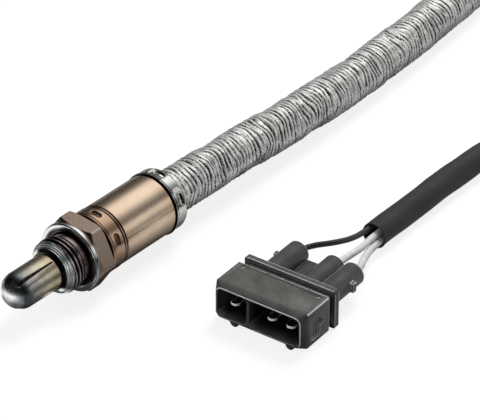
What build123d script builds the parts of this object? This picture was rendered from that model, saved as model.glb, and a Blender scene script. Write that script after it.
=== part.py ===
from build123d import *
import os
from math import cos, pi, radians, sin, tan

# Heated thimble-type oxygen sensor with three leads, lying on the ground with its cable and plug.
# +X runs along the sensor axis from the closed tip to the cable, +Z is up. The origin is on the
# axis at the end of the mounting thread next to the seat. All lengths are in millimetres.

# ---- overall ----------------------------------------------------------------------------
sensor_length = 71.2  # closed tip to the rear of the clamp ring

# ---- fits -------------------------------------------------------------------------------
slip_fit = 0.05  # radial gap between parts that slide together
seat_gap = 0.02  # gap between faces that are pressed together end to end

# ---- mounting thread, seat and hexagon ---------------------------------------------------
thread_radius = 9.0  # M18 x 1.5, major radius
thread_length = 3.0  # full thread
lead_length = 3.9  # tapered start of the thread, with the nose
nose_radius = 6.35  # outer radius of the narrow front face
nose_chamfer = 1.15
recess_radius = 6.2  # ring gap round the protective tube
recess_depth = 1.0
undercut_radius = 8.2
undercut_length = 2.7  # open thread relief in front of the gasket
gasket_radius = 11.5
gasket_thickness = 1.8
gasket_loose_fit = 0.2
hex_across_flats = 22.0
hex_thickness = 5.6
hex_turn = 4.0  # degrees, corner above the horizontal
hex_chamfer_angle = 30.0

# ---- protective tube ---------------------------------------------------------------------
tube_radius = 5.95
tube_wall = 0.5
tube_reach = 18.0  # from the housing's front face to the closed end
tube_flange_radius = 7.15
tube_flange_thickness = 0.5
slot_count = 3
slot_angle = 117.0  # degrees, first slot
slot_front_width = 1.0
slot_rear_width = 0.4
slot_front_margin = 1.3  # closed end to slot
slot_rear_margin = 0.8  # slot to housing

# ---- inner stack -------------------------------------------------------------------------
flange_seat_depth = 4.9  # housing front face to the seat of the tube's flange
seal_ring_thickness = 0.6
seal_ring_width = 1.2
thimble_flange_thickness = 3.2
thimble_tip_radius = 2.6
thimble_root_radius = 4.3
thimble_rear_radius = 5.2
thimble_wall = 0.8
thimble_reach = 15.6  # flange to tip
thimble_rear_length = 6.0
contact_thickness = 0.6
contact_sleeve_length = 3.0
heater_radius = 1.5
heater_tip_gap = 0.8
heater_rear_reach = 11.5  # beyond the contact plate
ceramic_front_radius = 8.3
wide_bore_from = 1.2  # gasket seat to the wider bore that takes the insulator
ceramic_rear_radius = 6.8
ceramic_rear_length = 15.0
ceramic_cavity_radius = 5.7
ceramic_web = 4.0  # floor of the rear cavity behind the shoulder
ceramic_bore_radius = 2.6
spring_thickness = 0.6
spring_height = 1.0
spring_bore_radius = 7.0
spring_radius = 9.4

# ---- protective sleeve, beads and caulking -------------------------------------------------
spigot_radius = 9.7
spigot_length = 5.9  # housing behind the hexagon
sleeve_front_gap = 1.6  # hexagon to the sleeve's front edge
skirt_radius = 10.5
sleeve_radius = 10.35
sleeve_wall = 0.55
bead_width = 0.4
bead_land = 0.6
bead_depth = 0.3
bead_inner_radius = 9.1
neck_radius = 9.7
neck_length = 4.6
notch_count = 6
notch_length = 4.6
notch_width = 2.2
notch_depth = 0.45
notch_from_edge = 2.9  # sleeve's front edge to the notch centre

# ---- clamp ring --------------------------------------------------------------------------
ring_radius = 10.5
ring_front_radius = 10.8  # of the raised front edge
ring_front_width = 0.9
ring_gap = 0.7  # dark gap in front of the ring
ring_length = 5.1
ring_back_wall = 1.0
ring_shoulder = 1.1
ring_lip = 0.25
dimple_length = 4.8
dimple_width = 2.4
dimple_depth = 0.4

# ---- leads -------------------------------------------------------------------------------
signal_radius = 0.95
heater_lead_radius = 1.15
lead_circle = 3.8
lead_angles = {"signal": 90.0, "heater_a": 210.0, "heater_b": 330.0}
crimp_radius = 1.5
crimp_length = 5.0
contact_rod_radius = 0.55
grommet_length = 11.0

# ---- cable -------------------------------------------------------------------------------
hose_radius = 7.5
cable_radius = 4.4
boot_length = 22.0
boot_radius = 8.0
boot_small_radius = 5.2
boot_straight = 22.0  # cable straight out of the boot
wire_straight = 4.0  # of each wire outside its seal and outside the sleeve
mouth_depth = 8.0  # open end of the cable sleeve, round the wires
mouth_wall = 0.5

# ---- plug connector, its own axes are U across, V from mouth to cable, W up ------------------
plug_x = 19.7
plug_y = -60.05
plug_yaw = 4.06  # degrees
foot_height = 0.96
plug_width = 33.2
plug_height = 12.43
plug_depth = 13.6
rim_inset = 1.2
rim_drop = 1.01
rim_height = 10.77
rim_set_back = 2.34
rim_corner = 2.1
body_corner = 0.7
rim_wall = 0.5
pocket_depth = 12.0
divider_centre = -3.66
divider_wall = 0.7
groove_width = 3.2
core_inset = 2.3
flange_thickness = 2.0
flange_corner = 0.8
barrel_radius = 3.76
barrel_length = 16.9
barrel_axis = 6.55
barrel_bore = 2.6
web_bottom = 2.4
web_top = 4.9
way_first = -9.57
way_second = 3.87
way_third = 10.71
lug_reach = 0.85
lug_height = 3.3
lug_thickness = 1.7
lug_from_end = 7.2
foot_radius = 1.56  # half-round ribs under the body
foot_shift = 0.8  # from the way's axis
foot_front = 0.3
foot_length = 12.0
latch_outline = [(4.5, 2.0), (8.7, 2.0), (8.7, 5.2), (10.9, 5.7), (8.4, 8.4), (4.5, 9.0)]  # V, W
latch_depth = 0.8
pin_mark_u = 13.7
pin_mark_v = 12.0
pin_mark_radius = 0.75
pin_mark_depth = 0.5
blade_width = 3.3
blade_thickness = 0.8
blade_recess = 0.96
shank_width = 3.6
shank_height = 2.4
shank_length = 6.5
seal_length = 4.0
seal_recess = 0.5

# ---- places worked out from the sizes above ------------------------------------------------
front_x = -(thread_length + lead_length)
gasket_x = undercut_length
hex_x = gasket_x + gasket_thickness
hex_rear_x = hex_x + hex_thickness
spigot_end_x = hex_rear_x + spigot_length
tip_x = front_x - tube_reach
flange_seat_x = front_x + flange_seat_depth
ring_seat_x = flange_seat_x + tube_flange_thickness + seat_gap
thimble_x = ring_seat_x + seal_ring_thickness + seat_gap
thimble_rear_x = thimble_x + thimble_flange_thickness + thimble_rear_length
contact_x = thimble_rear_x + seat_gap
ceramic_x = contact_x + contact_thickness + seat_gap
shoulder_x = spigot_end_x
sleeve_x = hex_rear_x + sleeve_front_gap
bead_x = shoulder_x + spring_height + seat_gap
bead_end_x = bead_x + 2 * bead_width + bead_land
ring_end_x = tip_x + sensor_length
ring_x = ring_end_x - ring_length
neck_x = ring_x - ring_gap
neck_end_x = neck_x + neck_length
cavity_x = shoulder_x + ceramic_web
crimp_x = cavity_x + ceramic_rear_length - ceramic_web - crimp_length
grommet_x = neck_end_x - grommet_length
floor_z = -gasket_radius
inner_bore = tube_flange_radius + slip_fit
skirt_bore = spigot_radius + slip_fit
sleeve_bore = sleeve_radius - sleeve_wall
neck_bore = neck_radius - sleeve_wall
corner_radius = hex_across_flats / 2 / cos(radians(30))
chamfer_start = hex_across_flats / 2
chamfer_run = (corner_radius - chamfer_start) * tan(radians(hex_chamfer_angle))


def radial_plane(x, radius, angle):
    """Plane that touches a circle round the sensor axis: X along the axis, normal outwards."""
    outward = (0, cos(radians(angle)), sin(radians(angle)))
    return Plane(
        origin=(x, radius * outward[1], radius * outward[2]), x_dir=(1, 0, 0), z_dir=outward
    )


def axis_plane(x, radius, angle):
    """Plane square to the sensor axis, centred on a point of a circle round it."""
    return Plane(
        origin=(x, radius * cos(radians(angle)), radius * sin(radians(angle))),
        x_dir=(0, 1, 0),
        z_dir=(1, 0, 0),
    )


flat_angles = [hex_turn + 30 + 60 * k for k in range(notch_count)]

# ---- sensor housing: nose, thread cylinder, undercut, hexagon and spigot ---------------------
with BuildPart() as housing:
    with BuildSketch(Plane.YZ.offset(hex_x)):
        RegularPolygon(hex_across_flats / 2, 6, major_radius=False, rotation=hex_turn)
    extrude(amount=hex_thickness)
    with BuildSketch(Plane.XZ):
        with BuildLine():
            Polyline(
                (hex_x, 0),
                (hex_x, chamfer_start),
                (hex_x + chamfer_run, corner_radius),
                (hex_rear_x - chamfer_run / 2, corner_radius),
                (hex_rear_x, (corner_radius + chamfer_start) / 2),
                (hex_rear_x, 0),
                close=True,
            )
        make_face()
    revolve(axis=Axis.X, mode=Mode.INTERSECT)
    with BuildSketch(Plane.XZ):
        with BuildLine():
            Polyline(
                (front_x, 0),
                (front_x, nose_radius),
                (front_x + nose_chamfer, nose_radius + nose_chamfer),
                (-thread_length, thread_radius),
                (0, thread_radius),
                (thread_radius - undercut_radius, undercut_radius),
                (hex_x, undercut_radius),
                (hex_x, spigot_radius),
                (spigot_end_x, spigot_radius),
                (spigot_end_x, 0),
                close=True,
            )
        make_face()
    revolve(axis=Axis.X)
    with BuildSketch(Plane.XZ):
        with BuildLine():
            Polyline(
                (front_x, 0),
                (front_x, recess_radius),
                (front_x + recess_depth, recess_radius),
                (front_x + recess_depth, tube_radius + slip_fit),
                (flange_seat_x, tube_radius + slip_fit),
                (flange_seat_x, inner_bore),
                (hex_x + wide_bore_from, inner_bore),
                (hex_x + wide_bore_from, ceramic_front_radius + slip_fit),
                (spigot_end_x, ceramic_front_radius + slip_fit),
                (spigot_end_x, 0),
                close=True,
            )
        make_face()
    revolve(axis=Axis.X, mode=Mode.SUBTRACT)
    for angle in flat_angles:
        pocket_floor = spigot_radius - notch_depth
        with BuildSketch(radial_plane(sleeve_x + notch_from_edge, pocket_floor, angle)):
            SlotOverall(notch_length + 2 * slip_fit, notch_width + 2 * slip_fit, rotation=90)
        extrude(amount=2 * notch_depth, mode=Mode.SUBTRACT)

# ---- slotted protective tube with its clamped flange ------------------------------------------
dome_x = tip_x + tube_radius
with BuildPart() as protective_tube:
    with BuildSketch(Plane.XZ):
        with BuildLine():
            inner = tube_radius - tube_wall
            RadiusArc((tip_x, 0), (dome_x, tube_radius), tube_radius)
            Polyline(
                (dome_x, tube_radius),
                (flange_seat_x, tube_radius),
                (flange_seat_x, tube_flange_radius),
                (flange_seat_x + tube_flange_thickness, tube_flange_radius),
                (flange_seat_x + tube_flange_thickness, inner),
                (dome_x, inner),
            )
            RadiusArc((dome_x, inner), (tip_x + tube_wall, 0), -inner)
            Line((tip_x + tube_wall, 0), (tip_x, 0))
        make_face()
    revolve(axis=Axis.X)
    for k in range(slot_count):
        with BuildSketch(radial_plane(0, 0, slot_angle + 360 / slot_count * k)):
            with BuildLine():
                Polyline(
                    (tip_x + slot_front_margin, -slot_front_width / 2),
                    (front_x - slot_rear_margin, -slot_rear_width / 2),
                    (front_x - slot_rear_margin, slot_rear_width / 2),
                    (tip_x + slot_front_margin, slot_front_width / 2),
                    close=True,
                )
            make_face()
        extrude(amount=2 * tube_radius, mode=Mode.SUBTRACT)

# ---- captive crush gasket ---------------------------------------------------------------------
with BuildPart() as seal_gasket:
    with BuildSketch(Plane.XZ):
        with BuildLine():
            Polyline(
                (gasket_x, undercut_radius + gasket_loose_fit),
                (gasket_x, gasket_radius),
                (gasket_x + gasket_thickness, gasket_radius),
                (gasket_x + gasket_thickness, undercut_radius + gasket_loose_fit),
                close=True,
            )
        make_face()
    revolve(axis=Axis.X)
    outer_edges = seal_gasket.edges().filter_by(GeomType.CIRCLE).sort_by(SortBy.RADIUS)[-2:]
    fillet(outer_edges, gasket_thickness * 0.42)

# ---- seal ring, zirconia thimble, contact, heater -----------------------------------------------
with BuildPart() as thimble_seal_ring:
    with BuildSketch(Plane.YZ.offset(ring_seat_x)):
        Circle(tube_flange_radius)
        Circle(tube_flange_radius - seal_ring_width, mode=Mode.SUBTRACT)
    extrude(amount=seal_ring_thickness)

thimble_tip_x = thimble_x - thimble_reach
with BuildPart() as zirconia_thimble:
    with BuildSketch(Plane.XZ):
        with BuildLine():
            bore = thimble_tip_radius - thimble_wall
            RadiusArc(
                (thimble_tip_x, 0),
                (thimble_tip_x + thimble_tip_radius, thimble_tip_radius),
                thimble_tip_radius,
            )
            Polyline(
                (thimble_tip_x + thimble_tip_radius, thimble_tip_radius),
                (thimble_x, thimble_root_radius),
                (thimble_x, tube_flange_radius),
                (thimble_x + thimble_flange_thickness, tube_flange_radius),
                (thimble_x + thimble_flange_thickness, thimble_rear_radius),
                (thimble_rear_x, thimble_rear_radius),
                (thimble_rear_x, thimble_root_radius - thimble_wall),
                (thimble_x, thimble_root_radius - thimble_wall),
                (thimble_tip_x + thimble_tip_radius, bore),
            )
            RadiusArc(
                (thimble_tip_x + thimble_tip_radius, bore), (thimble_tip_x + thimble_wall, 0), -bore
            )
            Line((thimble_tip_x + thimble_wall, 0), (thimble_tip_x, 0))
        make_face()
    revolve(axis=Axis.X)

heater_x = thimble_tip_x + thimble_wall + heater_tip_gap
heater_end_x = contact_x + contact_thickness + heater_rear_reach
with BuildPart() as heater_rod:
    with BuildSketch(Plane.YZ.offset(heater_x)):
        Circle(heater_radius)
    extrude(amount=heater_end_x - heater_x)
    chamfer(heater_rod.edges().filter_by(GeomType.CIRCLE), heater_radius * 0.3)

signal_plane = axis_plane(contact_x, lead_circle, lead_angles["signal"])
with BuildPart() as signal_contact:
    with BuildSketch(Plane.YZ.offset(contact_x)):
        Circle(thimble_rear_radius)
        Circle(heater_radius + slip_fit, mode=Mode.SUBTRACT)
    extrude(amount=contact_thickness)
    with BuildSketch(Plane.YZ.offset(contact_x + contact_thickness)):
        Circle(heater_radius + slip_fit + contact_thickness * 0.6)
        Circle(heater_radius + slip_fit, mode=Mode.SUBTRACT)
    extrude(amount=contact_sleeve_length)
    with BuildSketch(signal_plane):
        Circle(contact_rod_radius)
    extrude(amount=crimp_x - contact_x)

# ---- ceramic support tube and the disc spring that presses it down --------------------------------
with BuildPart() as ceramic_support_tube:
    with BuildSketch(Plane.XZ):
        with BuildLine():
            Polyline(
                (ceramic_x, ceramic_bore_radius),
                (ceramic_x, ceramic_front_radius),
                (shoulder_x, ceramic_front_radius),
                (shoulder_x, ceramic_rear_radius),
                (shoulder_x + ceramic_rear_length, ceramic_rear_radius),
                (shoulder_x + ceramic_rear_length, ceramic_cavity_radius),
                (cavity_x, ceramic_cavity_radius),
                (cavity_x, ceramic_bore_radius),
                close=True,
            )
        make_face()
    revolve(axis=Axis.X)
    with BuildSketch(signal_plane):
        Circle(contact_rod_radius + slip_fit)
    extrude(amount=cavity_x - contact_x, mode=Mode.SUBTRACT)

with BuildPart() as disc_spring:
    with BuildSketch(Plane.XZ):
        with BuildLine():
            Polyline(
                (shoulder_x + seat_gap, spring_bore_radius),
                (shoulder_x + seat_gap + spring_thickness, spring_bore_radius),
                (shoulder_x + spring_height, spring_radius),
                (shoulder_x + spring_height - spring_thickness, spring_radius),
                close=True,
            )
        make_face()
    revolve(axis=Axis.X)

# ---- crimp terminals inside the ceramic cavity -----------------------------------------------------
with BuildPart() as signal_terminal:
    with BuildSketch(axis_plane(crimp_x, lead_circle, lead_angles["signal"])):
        Circle(crimp_radius)
    extrude(amount=crimp_length)
    fillet(signal_terminal.edges().filter_by(GeomType.CIRCLE), crimp_radius * 0.2)


def heater_terminal(angle):
    """Crimp barrel on the heater lead with a flat finger that presses on the heater rod's end."""
    finger_inner = heater_radius + seat_gap
    finger_outer = finger_inner + contact_thickness
    finger_x = heater_end_x - 2 * heater_radius
    with BuildPart() as terminal:
        with BuildSketch(axis_plane(crimp_x, lead_circle, angle)):
            Circle(crimp_radius)
        extrude(amount=crimp_length)
        with BuildSketch(radial_plane(0, finger_inner, angle)):
            with BuildLine():
                Polyline(
                    (finger_x, -contact_thickness),
                    (crimp_x + contact_thickness, -contact_thickness),
                    (crimp_x + contact_thickness, contact_thickness),
                    (finger_x, contact_thickness),
                    close=True,
                )
            make_face()
        extrude(amount=finger_outer - finger_inner)
        with BuildSketch(radial_plane(0, finger_inner, angle)):
            with BuildLine():
                Polyline(
                    (crimp_x, -contact_thickness),
                    (crimp_x + contact_thickness, -contact_thickness),
                    (crimp_x + contact_thickness, contact_thickness),
                    (crimp_x, contact_thickness),
                    close=True,
                )
            make_face()
        extrude(amount=lead_circle - finger_inner)
    return terminal


heater_terminal_a = heater_terminal(lead_angles["heater_a"])
heater_terminal_b = heater_terminal(lead_angles["heater_b"])


def inner_lead(angle, radius):
    """Straight insulated lead from its crimp through the grommet to the sensor's rear end."""
    with BuildPart() as lead:
        with BuildSketch(axis_plane(crimp_x + crimp_length, lead_circle, angle)):
            Circle(radius)
        extrude(amount=neck_end_x - crimp_x - crimp_length)
    return lead


lead_signal = inner_lead(lead_angles["signal"], signal_radius)
lead_heater_a = inner_lead(lead_angles["heater_a"], heater_lead_radius)
lead_heater_b = inner_lead(lead_angles["heater_b"], heater_lead_radius)

with BuildPart() as cable_grommet:
    with BuildSketch(Plane.XZ):
        with BuildLine():
            Polyline(
                (grommet_x, 0),
                (grommet_x, sleeve_bore - slip_fit),
                (neck_x - sleeve_wall - slip_fit, sleeve_bore - slip_fit),
                (neck_x - sleeve_wall - slip_fit, neck_bore - slip_fit),
                (neck_end_x, neck_bore - slip_fit),
                (neck_end_x, 0),
                close=True,
            )
        make_face()
    revolve(axis=Axis.X)
    for name, angle in lead_angles.items():
        hole_radius = signal_radius if name == "signal" else heater_lead_radius
        with BuildSketch(axis_plane(grommet_x, lead_circle, angle)):
            Circle(hole_radius + slip_fit)
        extrude(amount=grommet_length, mode=Mode.SUBTRACT)

# ---- protective sleeve: skirt with six caulked notches, double bead, straight wall, neck -------------
with BuildPart() as protective_sleeve:
    with BuildSketch(Plane.XZ):
        with BuildLine():
            Polyline(
                (sleeve_x, skirt_bore),
                (sleeve_x, skirt_radius),
                (bead_x, skirt_radius),
                (bead_x, sleeve_radius - bead_depth),
                (bead_x + bead_width, sleeve_radius - bead_depth),
                (bead_x + bead_width, sleeve_radius),
                (bead_end_x - bead_width, sleeve_radius),
                (bead_end_x - bead_width, sleeve_radius - bead_depth),
                (bead_end_x, sleeve_radius - bead_depth),
                (bead_end_x, sleeve_radius),
                (neck_x, sleeve_radius),
                (neck_x, neck_radius),
                (neck_end_x, neck_radius),
                (neck_end_x, neck_bore),
                (neck_x - sleeve_wall, neck_bore),
                (neck_x - sleeve_wall, sleeve_bore),
                (bead_end_x + bead_width, sleeve_bore),
                (bead_end_x, bead_inner_radius),
                (bead_x, bead_inner_radius),
                (bead_x, skirt_bore),
                close=True,
            )
        make_face()
    revolve(axis=Axis.X)
    for angle in flat_angles:
        with BuildSketch(radial_plane(sleeve_x + notch_from_edge, skirt_bore - notch_depth + slip_fit, angle)):
            SlotOverall(notch_length, notch_width, rotation=90)
        extrude(amount=notch_depth + sleeve_wall / 2)
        with BuildSketch(radial_plane(sleeve_x + notch_from_edge, skirt_radius - notch_depth, angle)):
            SlotOverall(notch_length, notch_width, rotation=90)
        extrude(amount=2 * notch_depth, mode=Mode.SUBTRACT)

# ---- clamp ring that closes the sleeve round the hose ---------------------------------------------
with BuildPart() as clamp_ring:
    with BuildSketch(Plane.XZ):
        with BuildLine():
            Polyline(
                (ring_x, neck_radius + slip_fit),
                (ring_x, ring_front_radius),
                (ring_x + ring_front_width, ring_front_radius),
                (ring_x + ring_front_width + ring_front_radius - ring_radius, ring_radius),
                (ring_end_x, ring_radius),
                (ring_end_x, hose_radius + slip_fit),
                (ring_end_x - ring_back_wall, hose_radius + slip_fit),
                (ring_end_x - ring_back_wall, neck_radius + slip_fit),
                close=True,
            )
        make_face()
    revolve(axis=Axis.X)
    outer_rims = clamp_ring.edges().filter_by(GeomType.CIRCLE).sort_by(SortBy.RADIUS)[-4:].sort_by(Axis.X)
    fillet(outer_rims[-1], ring_shoulder)
    fillet(outer_rims[0], ring_lip)
    for angle in flat_angles:
        with BuildSketch(radial_plane(ring_x + ring_length / 2, ring_radius - dimple_depth, angle)):
            SlotOverall(dimple_length, dimple_width, rotation=90)
        extrude(amount=2 * dimple_depth, mode=Mode.SUBTRACT)

# ---- connector ------------------------------------------------------------------------------------
plug_across = Vector(sin(radians(plug_yaw)), -cos(radians(plug_yaw)), 0)
plug_along = Vector(cos(radians(plug_yaw)), sin(radians(plug_yaw)), 0)
plug_base = Vector(plug_x, plug_y, floor_z + foot_height)
ways = [way_first, way_second, way_third]


def plug_point(u, v, w):
    """Point of the row frame from connector coordinates."""
    return plug_base + plug_across * u + plug_along * v + Vector(0, 0, w)


def plug_section(v, u=0.0, w=0.0):
    """Sketch plane across the connector: X across, Y up, extrusions by a negative amount run back."""
    return Plane(origin=plug_point(u, v, w), x_dir=plug_across, z_dir=plug_along * -1)


def plug_wall(u):
    """Sketch plane of a side wall: X along the connector, Y up."""
    return Plane(origin=plug_point(u, 0, 0), x_dir=plug_along, z_dir=plug_across)


plug_roof = Plane(origin=plug_base, x_dir=plug_across, z_dir=(0, 0, 1))
rim_centre = plug_height - rim_drop - rim_height / 2
body_centre = plug_height / 2
flange_v = plug_depth + groove_width
barrel_v = flange_v + flange_thickness
barrel_end_v = barrel_v + barrel_length
bore_v = pocket_depth + flange_thickness
rim_width = plug_width - 2 * rim_inset
pocket_top = rim_centre + rim_height / 2 - rim_wall
pocket_height = rim_height - 2 * rim_wall
pocket_edge = rim_width / 2 - rim_wall
divider_left = divider_centre - divider_wall / 2
divider_right = divider_centre + divider_wall / 2

with BuildPart() as connector_housing:
    with BuildSketch(plug_section(0, 0, rim_centre)):
        RectangleRounded(rim_width, rim_height, rim_corner)
    with BuildSketch(plug_section(rim_set_back, 0, body_centre)):
        RectangleRounded(plug_width, plug_height, body_corner)
    loft()
    with BuildSketch(plug_section(rim_set_back, 0, body_centre)):
        RectangleRounded(plug_width, plug_height, body_corner)
    extrude(amount=-(plug_depth - rim_set_back))
    with BuildSketch(plug_section(plug_depth, 0, body_centre)):
        Rectangle(plug_width - 2 * core_inset, plug_height - 2 * core_inset)
    extrude(amount=-groove_width)
    with BuildSketch(plug_section(flange_v, 0, (plug_height - foot_height) / 2)):
        RectangleRounded(plug_width, plug_height + foot_height, flange_corner)
    extrude(amount=-flange_thickness)
    with BuildSketch(plug_section(barrel_v)):
        for way in ways:
            with Locations((way, barrel_axis)):
                Circle(barrel_radius)
        with Locations(((way_first + way_third) / 2, (web_bottom + web_top) / 2)):
            Rectangle(way_third - way_first, web_top - web_bottom)
    extrude(amount=-barrel_length)
    for way in ways:
        with BuildSketch(plug_section(0, way, barrel_axis)):
            Rectangle(blade_width + 2 * slip_fit, blade_thickness + 2 * slip_fit)
        extrude(amount=-bore_v, mode=Mode.SUBTRACT)
    for way in (way_first, way_third):
        with BuildSketch(plug_section(foot_front, way + foot_shift, foot_radius - foot_height)):
            Circle(foot_radius)
        extrude(amount=-foot_length)
    for left, right in ((-pocket_edge, divider_left), (divider_right, pocket_edge)):
        with BuildSketch(plug_section(0, (left + right) / 2, rim_centre)):
            RectangleRounded(right - left, pocket_height, rim_corner - rim_wall)
        extrude(amount=-pocket_depth, mode=Mode.SUBTRACT)
    for way, side in ((way_first, -1), (way_third, 1)):
        with BuildSketch(plug_wall(side * plug_width / 2)):
            with BuildLine():
                Polyline(*latch_outline, close=True)
            make_face()
        extrude(amount=-side * latch_depth, mode=Mode.SUBTRACT)
        with BuildSketch(plug_roof.offset(plug_height)):
            with Locations((side * pin_mark_u, pin_mark_v)):
                Circle(pin_mark_radius)
        extrude(amount=-pin_mark_depth, mode=Mode.SUBTRACT)
        with BuildSketch(plug_section(barrel_end_v - lug_from_end, way, barrel_axis)):
            with Locations((side * barrel_radius, 0)):
                Rectangle(2 * lug_reach, lug_height)
        extrude(amount=-lug_thickness)
    for way in ways:
        with BuildSketch(plug_section(bore_v, way, barrel_axis)):
            Circle(barrel_bore)
        extrude(amount=-(barrel_end_v - bore_v), mode=Mode.SUBTRACT)

seal_end_v = barrel_end_v - seal_recess
seal_v = seal_end_v - seal_length
shank_v = bore_v + slip_fit


def connector_terminal(way, wire_radius):
    """Flat blade, square shank and crimp with the insulated wire end that fills the seal."""
    with BuildPart() as terminal:
        with BuildSketch(plug_section(blade_recess + blade_width / 2, way, barrel_axis)):
            Rectangle(blade_width, blade_thickness)
        extrude(amount=-(bore_v - blade_recess))
        with BuildSketch(Plane(origin=plug_point(way, blade_recess + blade_width / 2, barrel_axis),
                               x_dir=plug_across, z_dir=(0, 0, 1))):
            Circle(blade_width / 2)
        extrude(amount=blade_thickness / 2, both=True)
        with BuildSketch(plug_section(shank_v, way, barrel_axis)):
            Rectangle(shank_width, shank_height)
        extrude(amount=-shank_length)
        with BuildSketch(plug_section(shank_v + shank_length, way, barrel_axis)):
            Circle(crimp_radius)
        extrude(amount=-crimp_length)
        with BuildSketch(plug_section(shank_v + shank_length + crimp_length, way, barrel_axis)):
            Circle(wire_radius)
        extrude(amount=-(seal_end_v - shank_v - shank_length - crimp_length))
    return terminal


def wire_seal(way, wire_radius):
    """Ribbed rubber plug between the wire and the barrel's bore."""
    with BuildPart() as seal:
        rib = seal_length / 5
        with BuildSketch(plug_section(seal_v, way, barrel_axis)):
            Circle(barrel_bore - slip_fit - 0.3)
        extrude(amount=-seal_length)
        for k in (0, 2, 4):
            with BuildSketch(plug_section(seal_v + k * rib, way, barrel_axis)):
                Circle(barrel_bore - slip_fit)
            extrude(amount=-rib)
        with BuildSketch(plug_section(seal_v, way, barrel_axis)):
            Circle(wire_radius + slip_fit)
        extrude(amount=-seal_length, mode=Mode.SUBTRACT)
    return seal


wire_radii = [signal_radius, heater_lead_radius, heater_lead_radius]
connector_terminals = [connector_terminal(way, r) for way, r in zip(ways, wire_radii)]
wire_seals = [wire_seal(way, r) for way, r in zip(ways, wire_radii)]

# ---- free cable: each tube is straight runs joined by arcs ------------------------------------------
hose_lie = floor_z + boot_radius  # height of the hose's centre line where it lies
cable_lie = floor_z + cable_radius
hose_route = [
    (neck_end_x, 0.0, 0.0),
    (72.0, 0.0, 0.0),
    (106.0, 0.2, -1.9),
    (140.0, 1.0, -3.2),
    (172.0, 3.2, hose_lie),
    (202.0, 6.0, hose_lie),
    (228.0, 9.3, hose_lie),
]
boot_direction = (Vector(*hose_route[-1]) - Vector(*hose_route[-2])).normalized()
boot_start = Vector(*hose_route[-1])
boot_end = boot_start + boot_direction * boot_length
cable_straight = boot_end + boot_direction * boot_straight
cable_route = [
    (boot_end.X, boot_end.Y, boot_end.Z),
    (cable_straight.X, cable_straight.Y, cable_straight.Z),
    (296.5, 4.4, cable_lie),
    (312.8, -17.1, cable_lie),
    (316.2, -43.9, cable_lie),
    (305.7, -68.8, cable_lie),
    (284.2, -85.1, cable_lie),
    (257.4, -88.5, cable_lie),
    (230.3, -81.3, cable_lie),
    (202.1, -71.0, cable_lie),
    (173.0, -62.3, cable_lie),
    (146.0, -56.4, cable_lie),
    (112.0, -56.4, cable_lie),
    (79.8, -57.8, cable_lie),
]
cable_end = Vector(*cable_route[-1])
cable_back = (Vector(*cable_route[-2]) - cable_end).normalized()
cable_side = Vector(-cable_back.Y, cable_back.X, 0)


def wire_route(k, free_point, side, height):
    """Points of one wire, from its seal's rear face to the floor of the cable sleeve's open end."""
    start = plug_point(ways[k], seal_end_v, barrel_axis)
    mouth = cable_end + cable_side * side + Vector(0, 0, height)
    return [
        tuple(start),
        tuple(start + plug_along * wire_straight),
        free_point,
        tuple(mouth - cable_back * wire_straight),
        tuple(mouth + cable_back * mouth_depth),
    ]


wire_routes = [
    wire_route(0, (66.0, -55.7, -4.6), 1.6, 2.1),
    wire_route(1, (70.0, -60.9, -4.9), -0.85, 0.87),
    wire_route(2, (65.0, -64.9, -5.4), -2.0, -1.2),
]


def cord_tube(route, radius, name, mouth=0.0):
    """Round tube along straight runs, with the largest tangent arc that the two runs allow.

    Its last stretch, of the length mouth, is hollow and open.
    """
    points = [Vector(*p) for p in route]
    radii = []
    for before, corner, after in zip(points, points[1:], points[2:]):
        turn = (corner - before).get_angle(after - corner)
        shorter = min((corner - before).length, (after - corner).length)
        radii.append(0.45 * shorter / tan(radians(turn / 2)))
    start = (points[1] - points[0]).normalized()
    back = (points[-2] - points[-1]).normalized()
    with BuildPart() as tube:
        with BuildLine() as path:
            FilletPolyline(*points, radius=radii)
        with BuildSketch(Plane(origin=points[0], z_dir=start)):
            Circle(radius)
        sweep()
        if mouth > 0:
            with BuildSketch(Plane(origin=points[-1], z_dir=back)):
                Circle(radius - mouth_wall)
            extrude(amount=mouth, mode=Mode.SUBTRACT)
    length = path.wires()[0].length
    expected = pi * (radius**2 * length - (radius - mouth_wall) ** 2 * mouth)
    print(name, "length", round(length, 1), "radii", [round(r, 1) for r in radii],
          "volume ratio", round(tube.part.volume / expected, 4))
    return tube


heat_shield_hose = cord_tube(hose_route, hose_radius, "heat_shield_hose")
cable_sleeve = cord_tube(cable_route, cable_radius, "cable_sleeve", mouth_depth)
wire_signal = cord_tube(wire_routes[0], signal_radius, "wire_signal")
wire_heater_a = cord_tube(wire_routes[1], heater_lead_radius, "wire_heater_a")
wire_heater_b = cord_tube(wire_routes[2], heater_lead_radius, "wire_heater_b")

with BuildPart() as hose_end_boot:
    boot_plane = Plane(origin=boot_start, z_dir=boot_direction)
    with BuildSketch(boot_plane):
        Circle(boot_radius)
    extrude(amount=boot_length * 0.4)
    with BuildSketch(boot_plane.offset(boot_length * 0.4)):
        Circle(boot_radius)
    with BuildSketch(boot_plane.offset(boot_length)):
        Circle(boot_small_radius)
    loft()

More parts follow.
